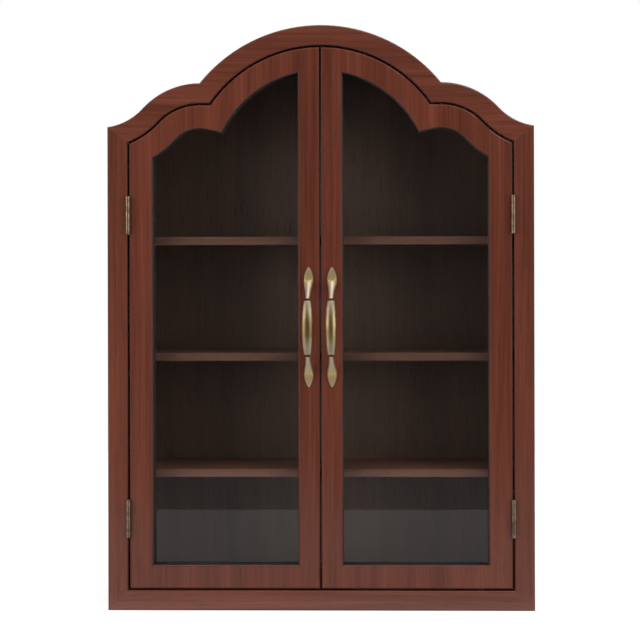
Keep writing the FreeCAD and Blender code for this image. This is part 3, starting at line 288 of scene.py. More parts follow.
class WoodGrain(Effect):
    """Straight grain along X: drifting bands, streaks, fine fibres and short dark pores."""

    title = "wood_grain"
    takes = (
        ("Vector", "Vector"), ("Pale", "Color"), ("Deep", "Color"), ("Figure", "Float"), ("Pores", "Float"),
        ("Satin", "Float"),
    )
    gives = (("Color", "Color"), ("Roughness", "Float"), ("Height", "Float"))
    wander = Pattern((2.2, 16.0, 16.0))
    wander_reach = 0.014
    bands = Pattern((1.8, 46.0, 46.0), 3.0, 0.55)
    band_share = 0.5
    streaks = Pattern((4.0, 340.0, 340.0), 4.0, 0.62)
    streak_share = 0.35
    streak_matte = 0.22
    streak_height = 0.6
    fibres = Pattern((32.0, 1700.0, 1700.0))
    fibre_share = 0.15
    fibre_height = 0.3
    pores = Pattern((50.0, 1250.0, 1250.0), 1.0)
    pore_range = (0.6, 0.72)
    pore_tint = (0.38, 0.33, 0.3)
    pore_matte = 0.12
    pore_depth = 0.5

    @classmethod
    def effect(cls, bench: NodeBench, given: Any) -> dict[str, Socket]:
        """Colour, roughness and height of the grain."""
        wander = bench.math("SUBTRACT", bench.noise(given["Vector"], cls.wander), HALF)
        sway = bench.math("MULTIPLY", wander, cls.wander_reach)
        aside = bench.add("CombineXYZ", {"Y": sway, "Z": sway}).outputs[0]
        line = bench.add("VectorMath", {0: given["Vector"], 1: aside}, operation="ADD").outputs[0]
        bands = bench.noise(line, cls.bands)
        streaks = bench.noise(line, cls.streaks)
        fibres = bench.noise(line, cls.fibres)
        pores = bench.span(bench.noise(line, cls.pores), *cls.pore_range)
        tone = bench.weighted((bands, cls.band_share), (streaks, cls.streak_share), (fibres, cls.fibre_share))
        contrast = bench.math("MULTIPLY", bench.math("SUBTRACT", tone, HALF), given["Figure"])
        share = bench.math("ADD", contrast, HALF, clamp=True)
        plain = bench.blend(share, given["Deep"], given["Pale"])
        dark = bench.blend(1.0, plain, cls.pore_tint, "MULTIPLY")
        color = bench.blend(bench.math("MULTIPLY", pores, given["Pores"]), plain, dark)
        uneven = bench.math("MULTIPLY", bench.math("SUBTRACT", streaks, HALF), cls.streak_matte)
        sheen = bench.math("ADD", given["Satin"], uneven)
        matte = bench.math("ADD", sheen, bench.math("MULTIPLY", pores, cls.pore_matte))
        raised = bench.weighted((streaks, cls.streak_height), (fibres, cls.fibre_height))
        height = bench.math("SUBTRACT", raised, bench.math("MULTIPLY", pores, cls.pore_depth))
        return {"Color": color, "Roughness": matte, "Height": height}


class RubbedEdge(Effect):
    """Mask of the edges that hands and cloths have scuffed, broken up a little."""

    title = "rubbed_edge"
    takes = (("Vector", "Vector"), ("Reach", "Float"), ("Amount", "Float"))
    gives = (("Mask", "Float"),)
    probes = 4
    edge_range = (0.99, 0.8)
    patches = Pattern((45.0, 45.0, 45.0), 3.0)
    patch_range = (0.35, 0.65)

    @classmethod
    def effect(cls, bench: NodeBench, given: Any) -> dict[str, Socket]:
        """How far the rounded normal leaves the real one, times a soft noise."""
        rounded = bench.add("Bevel", {"Radius": given["Reach"]}, samples=cls.probes).outputs[0]
        straight = bench.add("NewGeometry").outputs["Normal"]
        along = bench.add("VectorMath", {0: rounded, 1: straight}, operation="DOT_PRODUCT").outputs["Value"]
        edge = bench.span(along, *cls.edge_range)
        patchy = bench.span(bench.noise(given["Vector"], cls.patches), *cls.patch_range)
        return {"Mask": bench.math("MULTIPLY", bench.math("MULTIPLY", edge, patchy), given["Amount"])}


class AgedMetal(Effect):
    """Cloudy tarnish, small specks and fine handling marks on metal."""

    title = "aged_metal"
    takes = (
        ("Vector", "Vector"), ("Bright", "Color"), ("Dark", "Color"), ("Cells", "Float"), ("Smooth", "Float"),
        ("Dull", "Float"),
    )
    gives = (("Color", "Color"), ("Roughness", "Float"), ("Height", "Float"))
    cloud_detail = 5.0
    cloud_range = (0.38, 0.68)
    cloud_wear = 0.7
    speck_cells = 14.0
    speck_detail = 2.0
    speck_range = (0.62, 0.72)
    speck_share = 0.6
    marks = Pattern((2600.0, 2600.0, 160.0))
    mark_wear = 0.3

    @classmethod
    def effect(cls, bench: NodeBench, given: Any) -> dict[str, Socket]:
        """Colour, roughness and height of the metal's surface."""
        cloud = bench.clouds(given["Vector"], given["Cells"], cls.cloud_detail)
        fine_cells = bench.math("MULTIPLY", given["Cells"], cls.speck_cells)
        fine = bench.clouds(given["Vector"], fine_cells, cls.speck_detail)
        marks = bench.noise(given["Vector"], cls.marks)
        specks = bench.math("MULTIPLY", bench.span(fine, *cls.speck_range), cls.speck_share)
        dull = bench.math("MAXIMUM", bench.span(cloud, *cls.cloud_range), specks)
        color = bench.blend(dull, given["Bright"], given["Dark"])
        wear = bench.weighted((dull, cls.cloud_wear), (marks, cls.mark_wear))
        matte = bench.span(wear, 0.0, 1.0, given["Smooth"], given["Dull"])
        height = bench.weighted((marks, HALF), (fine, HALF))
        return {"Color": color, "Roughness": matte, "Height": height}


class Handling(Effect):
    """Faint smears from 0 to 1, and the same broken up by dust."""

    title = "handling"
    takes = (("Vector", "Vector"), ("Cells", "Float"))
    gives = (("Smears", "Float"), ("Dust", "Float"))
    smear_detail = 4.0
    smear_bend = 0.6
    smear_range = (0.4, 0.75)
    grit = Pattern((900.0, 900.0, 900.0))

    @classmethod
    def effect(cls, bench: NodeBench, given: Any) -> dict[str, Socket]:
        """Large patches, and these times a finer breakup."""
        clouds = bench.clouds(given["Vector"], given["Cells"], cls.smear_detail, Distortion=cls.smear_bend)
        smears = bench.span(clouds, *cls.smear_range)
        grit = bench.noise(given["Vector"], cls.grit)
        return {"Smears": smears, "Dust": bench.math("MULTIPLY", smears, grit)}


class Reveal(Effect):
    """Mask of an opening's inner faces, which get painted shade: within a box at either side of the middle,
    soft at its front.
    """

    title = "reveal"
    takes = (
        ("Vector", "Vector"), ("Low", "Vector"), ("High", "Vector"), ("Soft", "Float"), ("Spring", "Float"),
    )
    gives = (("Mask", "Float"),)
    upward = 0.1

    @classmethod
    def effect(cls, bench: NodeBench, given: Any) -> dict[str, Socket]:
        """One where the spot is inside on every axis and, above the arch's spring, doesn't face up."""
        corners = (given[name] for name in ("Vector", "Low", "High"))
        spot, low, high = (bench.add("SeparateXYZ", {0: corner}).outputs for corner in corners)
        aside = bench.math("ABSOLUTE", spot["X"])
        behind = bench.math("DIVIDE", bench.math("SUBTRACT", spot["Y"], low["Y"]), given["Soft"], clamp=True)
        mask = bench.math("MULTIPLY", behind, bench.math("LESS_THAN", spot["Y"], high["Y"]))
        for place, least, most in ((aside, low["X"], high["X"]), (spot["Z"], low["Z"], high["Z"])):
            mask = bench.math("MULTIPLY", mask, bench.math("GREATER_THAN", place, least))
            mask = bench.math("MULTIPLY", mask, bench.math("LESS_THAN", place, most))
        facing = bench.add("SeparateXYZ", {0: bench.add("NewGeometry").outputs["Normal"]}).outputs["Z"]
        straight = bench.math("LESS_THAN", spot["Z"], given["Spring"])
        inner = bench.math("MAXIMUM", straight, bench.math("LESS_THAN", facing, cls.upward))
        return {"Mask": bench.math("MULTIPLY", mask, inner)}


class EasedEdge(Effect):
    """Mask of the eased edges that don't face up, which get painted shade and where lacquer is thin."""

    title = "eased_edge"
    takes = (("Normal", "Vector"), ("Least", "Float"), ("Most", "Float"), ("Up", "Float"))
    gives = (("Mask", "Float"),)

    @classmethod
    def effect(cls, bench: NodeBench, given: Any) -> dict[str, Socket]:
        """One where the face is turned partly to the front, and not up."""
        normal = bench.add("SeparateXYZ", {0: given["Normal"]}).outputs
        facing = bench.math("ABSOLUTE", normal["Y"])
        slanted = bench.math("GREATER_THAN", facing, given["Least"])
        slanted = bench.math("MULTIPLY", slanted, bench.math("LESS_THAN", facing, given["Most"]))
        return {"Mask": bench.math("MULTIPLY", slanted, bench.math("LESS_THAN", normal["Z"], given["Up"]))}


def new_material(title: str) -> tuple[Material, NodeBench, Node]:
    """A material with its bench and its Principled shader.

    Args:
        title: the material's name.

    Returns:
        The material, the bench of its tree, and the shader node.
    """
    material = bpy.data.materials.new(title)
    material.use_nodes = True
    bench = NodeBench(material.node_tree)
    return material, bench, bench.find("BSDF_PRINCIPLED")


def place_on_piece(bench: NodeBench, turn: Place = (0.0, 0.0, 0.0), slide: float = 0.0) -> Socket:
    """Object coordinates, turned and slid to another part of the pattern.

    Args:
        bench: the material's bench.
        turn: rotation about X, Y and Z.
        slide: how far along the pattern, in metres.

    Returns:
        The coordinates' socket.
    """
    coordinates = bench.add("TexCoord").outputs["Object"]
    shift = tuple(slide * part for part in PLANK_WAY)
    return bench.add("Mapping", {"Vector": coordinates, "Rotation": turn, "Location": shift}).outputs[0]


def lay_on(
    bench: NodeBench, shader: Node, color: Socket, matte: Socket, height: Socket, relief: Pair
) -> None:
    """Join a finish's colour, roughness and relief to its shader.

    Args:
        bench: the material's bench.
        shader: the Principled shader.
        color: the base colour.
        matte: the roughness.
        height: the height of the surface, from 0 to 1.
        relief: how strongly the height shows, and its depth in metres.
    """
    strength, depth = relief
    bump = bench.add("Bump", {"Height": height, "Strength": strength, "Distance": depth})
    bench.feed(shader.inputs["Base Color"], color)
    bench.feed(shader.inputs["Roughness"], matte)
    bench.feed(shader.inputs["Normal"], bump.outputs[0])


def let_through(bench: NodeBench, shader: Node, rays: Socket, shade: Color = WHITE) -> None:
    """Let the rays that a mask picks pass the shader by, tinted by a shade."""
    through = bench.add("BsdfTransparent", {"Color": shade})
    either = bench.add("MixShader", {0: rays, 1: shader.outputs[0], 2: through.outputs[0]})
    bench.feed(bench.find("OUTPUT_MATERIAL").inputs["Surface"], either.outputs[0])


@dataclass(frozen=True)
class WoodFinish:
    """Stained wood under satin lacquer."""

    name: str
    pale: Color
    deep: Color
    figure: float = 4.3
    pores: float = 0.6
    satin: float = 0.25
    shine: float = 0.54
    edge: Color = (0.26, 0.105, 0.062)
    edge_amount: float = 0.15
    edge_reach: float = 0.9 * MM
    # painted shade: a near-black colour laid on an opening's inner faces, in place of the shade there
    recess: Color = (0.006, 0.003, 0.002)
    recess_soft: float = 1.2 * MM
    recess_matte: float = 0.85
    spring: float = 0.0
    eased: Pair = (0.1, 0.98)
    eased_up: float = 0.2
    # painted shade: a darkening multiplied into the eased edges that don't face up
    eased_stain: Color = (0.74, 0.58, 0.50)
    eased_matte: float = 0.85
    relief: Pair = (0.18, 0.15 * MM)

    def board(
        self, title: str, grain: Grain, slide: float, tone: float, reveal: Box | None = None
    ) -> Material:
        """Finish of one board.

        Args:
            title: the board's name.
            grain: the way its grain runs.
            slide: how far along the pattern the board was cut, in metres.
            tone: how light the board is drawn, as a share of the finish's own colours; in this script it
                paints light and shade onto whole boards.
            reveal: lowest and highest corner of the opening that is painted dark as shade behind the board's
                face.

        Returns:
            The board's material.
        """
        material, bench, shader = new_material(f"{self.name}_{title}")
        vector = place_on_piece(bench, grain.value, slide)
        pale = tuple(tone * part for part in self.pale)
        deep = tuple(tone * part for part in self.deep)
        wood = WoodGrain.place(bench, {
            "Vector": vector, "Pale": pale, "Deep": deep, "Figure": self.figure, "Pores": self.pores,
            "Satin": self.satin,
        })
        edge = RubbedEdge.place(bench, {
            "Vector": vector, "Reach": self.edge_reach, "Amount": self.edge_amount,
        })["Mask"]
        eased = EasedEdge.place(bench, {
            "Normal": bench.add("TexCoord").outputs["Normal"], "Least": self.eased[0], "Most": self.eased[1],
            "Up": self.eased_up,
        })["Mask"]
        color = bench.blend(edge, wood["Color"], self.edge)
        # painted shade multiplied into the eased edges that don't face up; these are also made matte
        color = bench.blend(eased, color, self.eased_stain, "MULTIPLY")
        matte = bench.span(eased, 0.0, 1.0, wood["Roughness"], self.eased_matte)
        if reveal:
            inside = Reveal.place(bench, {
                "Vector": place_on_piece(bench), "Low": reveal[0], "High": reveal[1],
                "Soft": self.recess_soft, "Spring": self.spring,
            })["Mask"]
            # painted shade: the opening's inner faces blended to a near-black colour and made matte
            color = bench.blend(inside, color, self.recess)
            matte = bench.span(inside, 0.0, 1.0, matte, self.recess_matte)
        lay_on(bench, shader, color, matte, wood["Height"], self.relief)
        bench.feed(shader.inputs["Specular IOR Level"], self.shine)
        return material


@dataclass(frozen=True)
class MetalFinish:
    """Metal that has aged by handling."""

    name: str
    bright: Color
    dark: Color
    smooth: float
    dull: float
    cells: float
    edge: Color
    edge_amount: float = 0.5
    edge_reach: float = 0.4 * MM
    relief: Pair = (0.12, 0.05 * MM)

    def mix(self) -> Material:
        """The finish's material."""
        material, bench, shader = new_material(self.name)
        vector = place_on_piece(bench)
        aged = AgedMetal.place(bench, {
            "Vector": vector, "Bright": self.bright, "Dark": self.dark, "Cells": self.cells,
            "Smooth": self.smooth, "Dull": self.dull,
        })
        edge = RubbedEdge.place(bench, {
            "Vector": vector, "Reach": self.edge_reach, "Amount": self.edge_amount,
        })["Mask"]
        color = bench.blend(edge, self.worn(bench, vector, aged["Color"]), self.edge)
        lay_on(bench, shader, color, aged["Roughness"], aged["Height"], self.relief)
        bench.feed(shader.inputs["Metallic"], 1.0)
        return material

    def worn(self, bench: NodeBench, vector: Socket, color: Socket) -> Socket:
        """The metal's colour after use and any painted light, here the same all along the piece."""
        return color


@dataclass(frozen=True)
class PullBrass(MetalFinish):
    """Browned brass, with painted highlights at necks and grip ends, a painted golden sheen on the leaves and
    painted shade in each notch.

    Each row of stops goes from the pull's middle to its tip.
    """

    middle: float = -147.3 * MM
    half_length: float = 60.0 * MM
    brown: Color = (0.66, 0.61, 0.54)
    # painted highlight: paler brass at the necks and grip ends, where the bow's curves catch light
    rubbed: Color = (0.55, 0.47, 0.34)
    rubbing: Stops = (
        (0.0, 0.0), (0.12, 0.05), (0.34, 0.5), (0.45, 0.6), (0.48, 0.95), (0.70, 0.85), (0.80, 0.35),
        (1.0, 0.45),
    )
    # painted sheen: brighter golden brass on the leaves
    gilt: Color = (0.64, 0.47, 0.23)
    gilding: Stops = ((0.0, 0.0), (0.66, 0.0), (0.77, 0.95), (0.86, 0.50), (0.92, 0.55), (1.0, 1.0))
    # painted shade: near-black brass in each notch between grip and neck, in place of its shadow
    notch: Color = (0.035, 0.025, 0.015)
    notches: Stops = ((0.0, 0.0), (0.441, 0.0), (0.450, 1.0), (0.476, 1.0), (0.484, 0.0))

    def worn(self, bench: NodeBench, vector: Socket, color: Socket) -> Socket:
        """The browned colour, under painted highlight, painted sheen and painted notch shade by the distance
        from the pull's middle.
        """
        height = bench.add("SeparateXYZ", {0: vector}).outputs["Z"]
        away = bench.math("ABSOLUTE", bench.math("SUBTRACT", height, self.middle))
        along = bench.math("DIVIDE", away, self.half_length)
        worn = bench.blend(1.0, color, self.brown, "MULTIPLY")
        # painted highlight, painted sheen and painted notch shade laid over the browned brass by distance
        # along the pull
        layers = ((self.rubbing, self.rubbed), (self.gilding, self.gilt), (self.notches, self.notch))
        for stops, layer in layers:
            worn = bench.blend(bench.ramp(along, stops), worn, layer)
        return worn


@dataclass(frozen=True)
class PlainFinish:
    """Moulded plastic or ground ceramic: one tone with patches and a fine stipple."""

    name: str
    pale: Color
    deep: Color
    satin: float
    relief: Pair
    patch_cells: float = 90.0
    patch_matte: float = 0.2
    patch_most: float = 0.6
    stipple: Pattern = Pattern((2400.0, 2400.0, 2400.0))
    edge_amount: float = 0.4
    edge_reach: float = 0.5 * MM

    def mix(self) -> Material:
        """The finish's material."""
        material, bench, shader = new_material(self.name)
        vector = place_on_piece(bench)
        patches = Handling.place(bench, {"Vector": vector, "Cells": self.patch_cells})["Dust"]
        edge = RubbedEdge.place(bench, {
            "Vector": vector, "Reach": self.edge_reach, "Amount": self.edge_amount,
        })["Mask"]
        color = bench.blend(bench.math("MAXIMUM", patches, edge), self.deep, self.pale)
        matte = bench.span(patches, 0.0, self.patch_most, self.satin, self.satin + self.patch_matte)
        lay_on(bench, shader, color, matte, bench.noise(vector, self.stipple), self.relief)
        return material


@dataclass(frozen=True)
class GlassFinish:
    """Clear polished window glass that lets lamps through."""

    name: str
    clear: Color
    dusty: Color
    shade: Color = (0.86, 0.88, 0.87)
    bend: float = 1.4
    smear_cells: float = 14.0
    smear_range: Pair = (0.4, 1.0)
    smear_matte: float = 0.01
    wave: Pattern = Pattern((9.0, 9.0, 6.0), 1.0)
    relief: Pair = (0.02, 1.0 * MM)

    def mix(self) -> Material:
        """The finish's material."""
        material, bench, shader = new_material(self.name)
        vector = place_on_piece(bench)
        smear = Handling.place(bench, {"Vector": vector, "Cells": self.smear_cells})["Smears"]
        color = bench.blend(smear, self.clear, self.dusty)
        matte = bench.span(smear, *self.smear_range, 0.0, self.smear_matte)
        lay_on(bench, shader, color, matte, bench.noise(vector, self.wave), self.relief)
        bench.feed(shader.inputs["Transmission Weight"], 1.0)
        bench.feed(shader.inputs["IOR"], self.bend)
        let_through(bench, shader, bench.add("LightPath").outputs["Is Shadow Ray"], self.shade)
        return material


Finish = MetalFinish | PlainFinish | GlassFinish

FRAME_WOOD = WoodFinish("frame_wood", (0.178, 0.046, 0.024), (0.090, 0.021, 0.0105))
DOOR_WOOD = WoodFinish("door_wood", (0.164, 0.040, 0.0195), (0.084, 0.0185, 0.0085), edge_amount=0.12)
CARCASS_WOOD = WoodFinish("carcass_wood", (0.160, 0.044, 0.024), (0.084, 0.022, 0.0115))
BACK_WOOD = WoodFinish(
    "back_wood", (0.080, 0.040, 0.026), (0.0345, 0.017, 0.0112), figure=2.6, pores=0.9, satin=0.55, shine=0.32
)
SHELF_WOOD = WoodFinish(
    "shelf_wood", (0.116, 0.046, 0.029), (0.070, 0.028, 0.0175), figure=2.0, pores=0.3, satin=0.45, shine=0.35
)
BEECH = WoodFinish("dowel_wood", (0.62, 0.45, 0.28), (0.50, 0.34, 0.20), satin=0.65, edge=(0.7, 0.55, 0.4))
BRASS = PullBrass(
    "pull_brass", (0.46, 0.36, 0.195), (0.22, 0.155, 0.068), 0.36, 0.48, 55.0, edge=(0.66, 0.57, 0.40)
)
BRONZE = MetalFinish(
    "hinge_bronze", (0.215, 0.158, 0.105), (0.100, 0.069, 0.045), 0.36, 0.54, 160.0, edge=(0.42, 0.34, 0.24)
)
ZINC = MetalFinish("steel", (0.62, 0.63, 0.64), (0.46, 0.47, 0.48), 0.28, 0.45, 200.0, edge=(0.8, 0.8, 0.8))
BROWN_PLASTIC = PlainFinish(
    "catch_plastic", (0.15, 0.08, 0.05), (0.09, 0.045, 0.028), 0.4, (0.25, 0.05 * MM)
)
FERRITE = PlainFinish("magnet", (0.17, 0.17, 0.18), (0.09, 0.09, 0.1), 0.45, (0.4, 0.05 * MM))
CLEAR_GLASS = GlassFinish("glass", (0.955, 0.975, 0.965), (0.935, 0.955, 0.945))


@dataclass
class Workshop:
    """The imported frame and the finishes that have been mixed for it."""

    frame: dict[str, Any]
    mixed: dict[str, Material] = field(default_factory=dict)

    def dress(self, node: str, material: Material) -> None:
        """Give a CAD piece its finish."""
        piece = self.frame["nodes"][node]
        piece.data.materials.clear()
        piece.data.materials.append(material)
        LOG.info("dressed %s with %s", node, material.name)

    def stand_in(self, piece: Mesh, body: str, slot: str, node: str) -> None:
        """Let a finer piece stand for a CAD piece: it rides on its body, and the CAD piece is hidden."""
        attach(piece, body)
        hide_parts(node)
        LOG.info("modelled %s for %s", piece.name, node)

    def once(self, finish: Finish) -> Material:
        """The one material of a finish that all its pieces share."""
        if finish.name not in self.mixed:
            self.mixed[finish.name] = finish.mix()
        return self.mixed[finish.name]


@dataclass
class Boards:
    """Wooden pieces of one sub-assembly: each with its finish, its grain and its cut from the plank."""

    shop: Workshop
    finish: WoodFinish
    grains: dict[str, Grain]
    first_cut: float
    # painted light and shade: whole boards drawn lighter where more light falls and darker where less does
    tones: dict[str, float] = field(default_factory=dict)
    reveals: dict[str, Box] = field(default_factory=dict)
    next_cut: float = 1.7

    def build(self) -> None:
        """Dress each board as if cut from the next stretch of plank."""
        for number, (node, grain) in enumerate(self.grains.items()):
            slide = self.first_cut + self.next_cut * number
            tone = self.tones.get(node, 1.0)
            self.shop.dress(node, self.finish.board(node, grain, slide, tone, self.reveals.get(node)))


@dataclass
class Hardware:
    """Metal, plastic and glass pieces that keep their solid shape."""

    shop: Workshop
    finish: Finish
    nodes: Iterable[str]

    def build(self) -> None:
        """Dress each piece with the shared material."""
        for node in self.nodes:
            self.shop.dress(node, self.shop.once(self.finish))


def deselect() -> None:
    """Let go of every object."""
    bpy.ops.object.select_all(action="DESELECT")


def apply_place() -> None:
    """Put the selected piece's place, turn and size into its mesh."""
    bpy.ops.object.transform_apply(location=True, rotation=True, scale=True)


def set_mode(mode: str) -> None:
    """Go to edit mode or object mode."""
    bpy.ops.object.mode_set(mode=mode)


def edit_all() -> None:
    """Go to edit mode with the whole mesh selected."""
    set_mode("EDIT")
    bpy.ops.mesh.select_all(action="SELECT")


def pick_faces(piece: Mesh, wanted: Callable[[bpy.types.MeshPolygon], bool]) -> None:
    """Select only the faces that pass a test, and stay in edit mode.

    Args:
        piece: the active piece.
        wanted: the test that each face is put to.
    """
    set_mode("EDIT")
    bpy.ops.mesh.select_mode(type="FACE")
    bpy.ops.mesh.select_all(action="DESELECT")
    set_mode("OBJECT")
    for face in piece.data.polygons:
        face.select = wanted(face)
    set_mode("EDIT")


def settle(smooth_angle: float) -> None:
    """Point the active piece's faces outwards, put its place into its mesh and smooth its gentle edges."""
    edit_all()
    bpy.ops.mesh.normals_make_consistent(inside=False)
    set_mode("OBJECT")
    apply_place()
    bpy.ops.object.shade_smooth_by_angle(angle=smooth_angle)


def cut_away(piece: Mesh, cutter: Mesh) -> None:
    """Cut one piece's shape out of another, and throw the cutter away."""
    deselect()
    bpy.context.view_layer.objects.active = piece
    piece.select_set(True)
    cut = piece.modifiers.new("cut", "BOOLEAN")
    cut.operation = "DIFFERENCE"
    cut.solver = "EXACT"
    cut.object = cutter
    bpy.ops.object.modifier_apply(modifier="cut")
    bpy.data.objects.remove(cutter, do_unlink=True)


@dataclass(frozen=True)
class Section:
    """Level elliptical section of a pull, in millimetres from the pull's middle and off the door."""

    reach: float
    half_width: float
    lift: float
    half_depth: float


GRIP = (
    (0.0, 5.4, 22.5, 3.5), (5.4, 5.34, 22.2, 3.52), (13.5, 4.98, 21.3, 3.5), (21.6, 4.2, 19.4, 3.25),
    (25.4, 3.62, 18.1, 3.0), (26.6, 3.4, 17.6, 2.85), (26.95, 3.2, 17.4, 2.65),
)
NOTCH = ((27.0, 2.2, 17.2, 1.9), (27.1, 1.2, 16.8, 1.1), (28.6, 1.2, 16.3, 1.1), (28.7, 1.8, 16.7, 1.7))
NECK = (
    (28.9, 2.2, 16.7, 2.0), (31.0, 2.25, 14.8, 2.1), (34.5, 2.6, 11.4, 2.35), (38.1, 3.3, 7.8, 2.9),
    (41.5, 4.2, 4.4, 3.5),
)
LEAF = (
    (44.5, 4.78, 1.6, 4.2), (47.0, 4.95, 0.0, 4.6), (50.0, 4.8, 0.0, 4.3), (53.1, 4.2, 0.0, 3.6),
    (56.0, 3.05, 0.0, 2.7), (58.3, 1.75, 0.0, 1.6), (59.6, 0.75, 0.0, 0.7), (59.95, 0.4, 0.0, 0.35),
)


@dataclass
class Pull:
    """Cast bow pull: a flattened, swelling grip, a notch at each end of it, and two leaves with flat tips."""

    shop: Workshop
    side: Side
    out: float = 11.6
    door_front: float = 127.0
    height: float = -147.3
    facets: int = 24
    rounds: int = 2
    flat_radius: float = 8.0
    flat_facets: int = 64
    flat_middle: float = 54.2
    flat_lift: float = 1.75
    flat_tilt: float = math.radians(13.0)
    smooth_angle: float = math.radians(38.0)
    half: tuple[Section, ...] = tuple(Section(*row) for row in (*GRIP, *NOTCH, *NECK, *LEAF))

    def build(self) -> None:
        """Draw the bar, round it, cut a flat into each leaf, and cut its back flat on the door."""
        bar = self._bar()
        self._round(bar)
        for end in (1, -1):
            self._flatten_leaf(bar, end)
        self._flatten_back()
        settle(self.smooth_angle)
        bar.data.materials.append(self.shop.once(BRASS))
        self.shop.stand_in(bar, f"{self.side.word}_door", BRASS.name, f"{self.side.word}_pull")

    def _middle(self, reach: float, lift: float) -> Place:
        """Middle of a section, in metres."""
        return (self.side.value * self.out * MM, -(self.door_front + lift) * MM, (self.height + reach) * MM)

    def _bar(self) -> Mesh:
        """Extrude a disc from the lower tip through every section to the upper tip.

        Returns:
            The bar.
        """
        lower = [Section(-row.reach, row.half_width, row.lift, row.half_depth) for row in self.half[:0:-1]]
        rows = [*lower, *self.half]
        last = rows[0]
        spot = self._middle(last.reach, last.lift)
        deselect()
        bpy.ops.mesh.primitive_circle_add(vertices=self.facets, radius=MM, fill_type="NGON", location=spot)
        bar = bpy.context.active_object
        bar.name = f"{self.side.word}_cast_pull"
        edit_all()
        self._stretch(last.half_width, last.half_depth, spot)
        for row in rows[1:]:
            step = (0.0, (last.lift - row.lift) * MM, (row.reach - last.reach) * MM)
            bpy.ops.mesh.extrude_region_move(TRANSFORM_OT_translate={"value": step})
            spot = self._middle(row.reach, row.lift)
            self._stretch(row.half_width / last.half_width, row.half_depth / last.half_depth, spot)
            last = row
        set_mode("OBJECT")
        return bar

    def _stretch(self, wide: float, deep: float, middle: Place) -> None:
        """Scale the picked ring about its own middle."""
        bpy.ops.transform.resize(value=(wide, deep, 1.0), center_override=middle)

    def _round(self, bar: Mesh) -> None:
        """Round the whole casting."""
        rounding = bar.modifiers.new("rounding", "SUBSURF")
        rounding.levels = self.rounds
        rounding.render_levels = self.rounds
        bpy.ops.object.modifier_apply(modifier="rounding")

    def _flatten_leaf(self, bar: Mesh, end: int) -> None:
        """Mill a flat with a round inner end into a leaf's tip: end 1 is the upper leaf, -1 the lower."""
        radius = self.flat_radius * MM
        tall = 2 * self.flat_radius * MM
        spot = Vector(self._middle(end * self.flat_middle, self.flat_lift))
        turn = (QUARTER_TURN - end * self.flat_tilt, 0.0, 0.0)
        deselect()
        bpy.ops.mesh.primitive_cylinder_add(
            vertices=self.flat_facets, radius=radius, depth=tall, location=spot, rotation=turn
        )
        cutter = bpy.context.active_object
        cutter.location += cutter.matrix_basis.to_3x3() @ Vector((0.0, 0.0, tall / 2))
        apply_place()
        cut_away(bar, cutter)

    def _flatten_back(self) -> None:
        """Cut away what lies behind the door's face."""
        edit_all()
        face = (0.0, -self.door_front * MM, 0.0)
        bpy.ops.mesh.bisect(plane_co=face, plane_no=(0.0, 1.0, 0.0), use_fill=True, clear_outer=True)
        set_mode("OBJECT")


class Head(Enum):
    """Shape of a screw's head."""

    FLAT = "flat"
    PAN = "pan"


class Drive(Enum):
    """Way a screw is driven, as the turns of its slots and their length in radii of the head."""

    SLOT = ((0.0,), 2.4)
    CROSS = ((0.0, QUARTER_TURN), 1.2)


class Heading(Enum):
    """Way a screw is driven in, as the turn that brings it there from pointing down."""

    DOWN = (0.0, 0.0, 0.0)
    RIGHT = (0.0, -QUARTER_TURN, 0.0)
    LEFT = (0.0, QUARTER_TURN, 0.0)
    FORWARD = (-QUARTER_TURN, 0.0, 0.0)


Seat = tuple[Place, Heading]


@dataclass(frozen=True)
class ScrewShape:
    """One kind of screw, in millimetres; thread is the share of the radius cut away, tip the share left."""

    head: Head
    drive: Drive
    head_radius: float
    head_height: float
    radius: float
    length: float
    pitch: float = 1.1
    thread: float = 0.2
    tip: float = 0.3
    finish: MetalFinish = ZINC


HINGE_SCREW = ScrewShape(Head.FLAT, Drive.SLOT, 2.0, 0.9, 1.1, 9.0, finish=BRONZE)
PULL_SCREW = ScrewShape(Head.PAN, Drive.CROSS, 3.2, 2.0, 1.5, 19.0, pitch=0.7, thread=0.12, tip=0.9)
STRIKE_SCREW = ScrewShape(Head.FLAT, Drive.CROSS, 2.2, 1.2, 1.2, 9.0)
HANGER_SCREW = ScrewShape(Head.FLAT, Drive.CROSS, 3.0, 2.0, 1.5, 7.0)
RAIL_SCREW = ScrewShape(Head.PAN, Drive.CROSS, 2.0, 2.0, 1.4, 22.0)
CATCH_SCREW = ScrewShape(Head.PAN, Drive.CROSS, 2.2, 1.8, 1.2, 24.0)


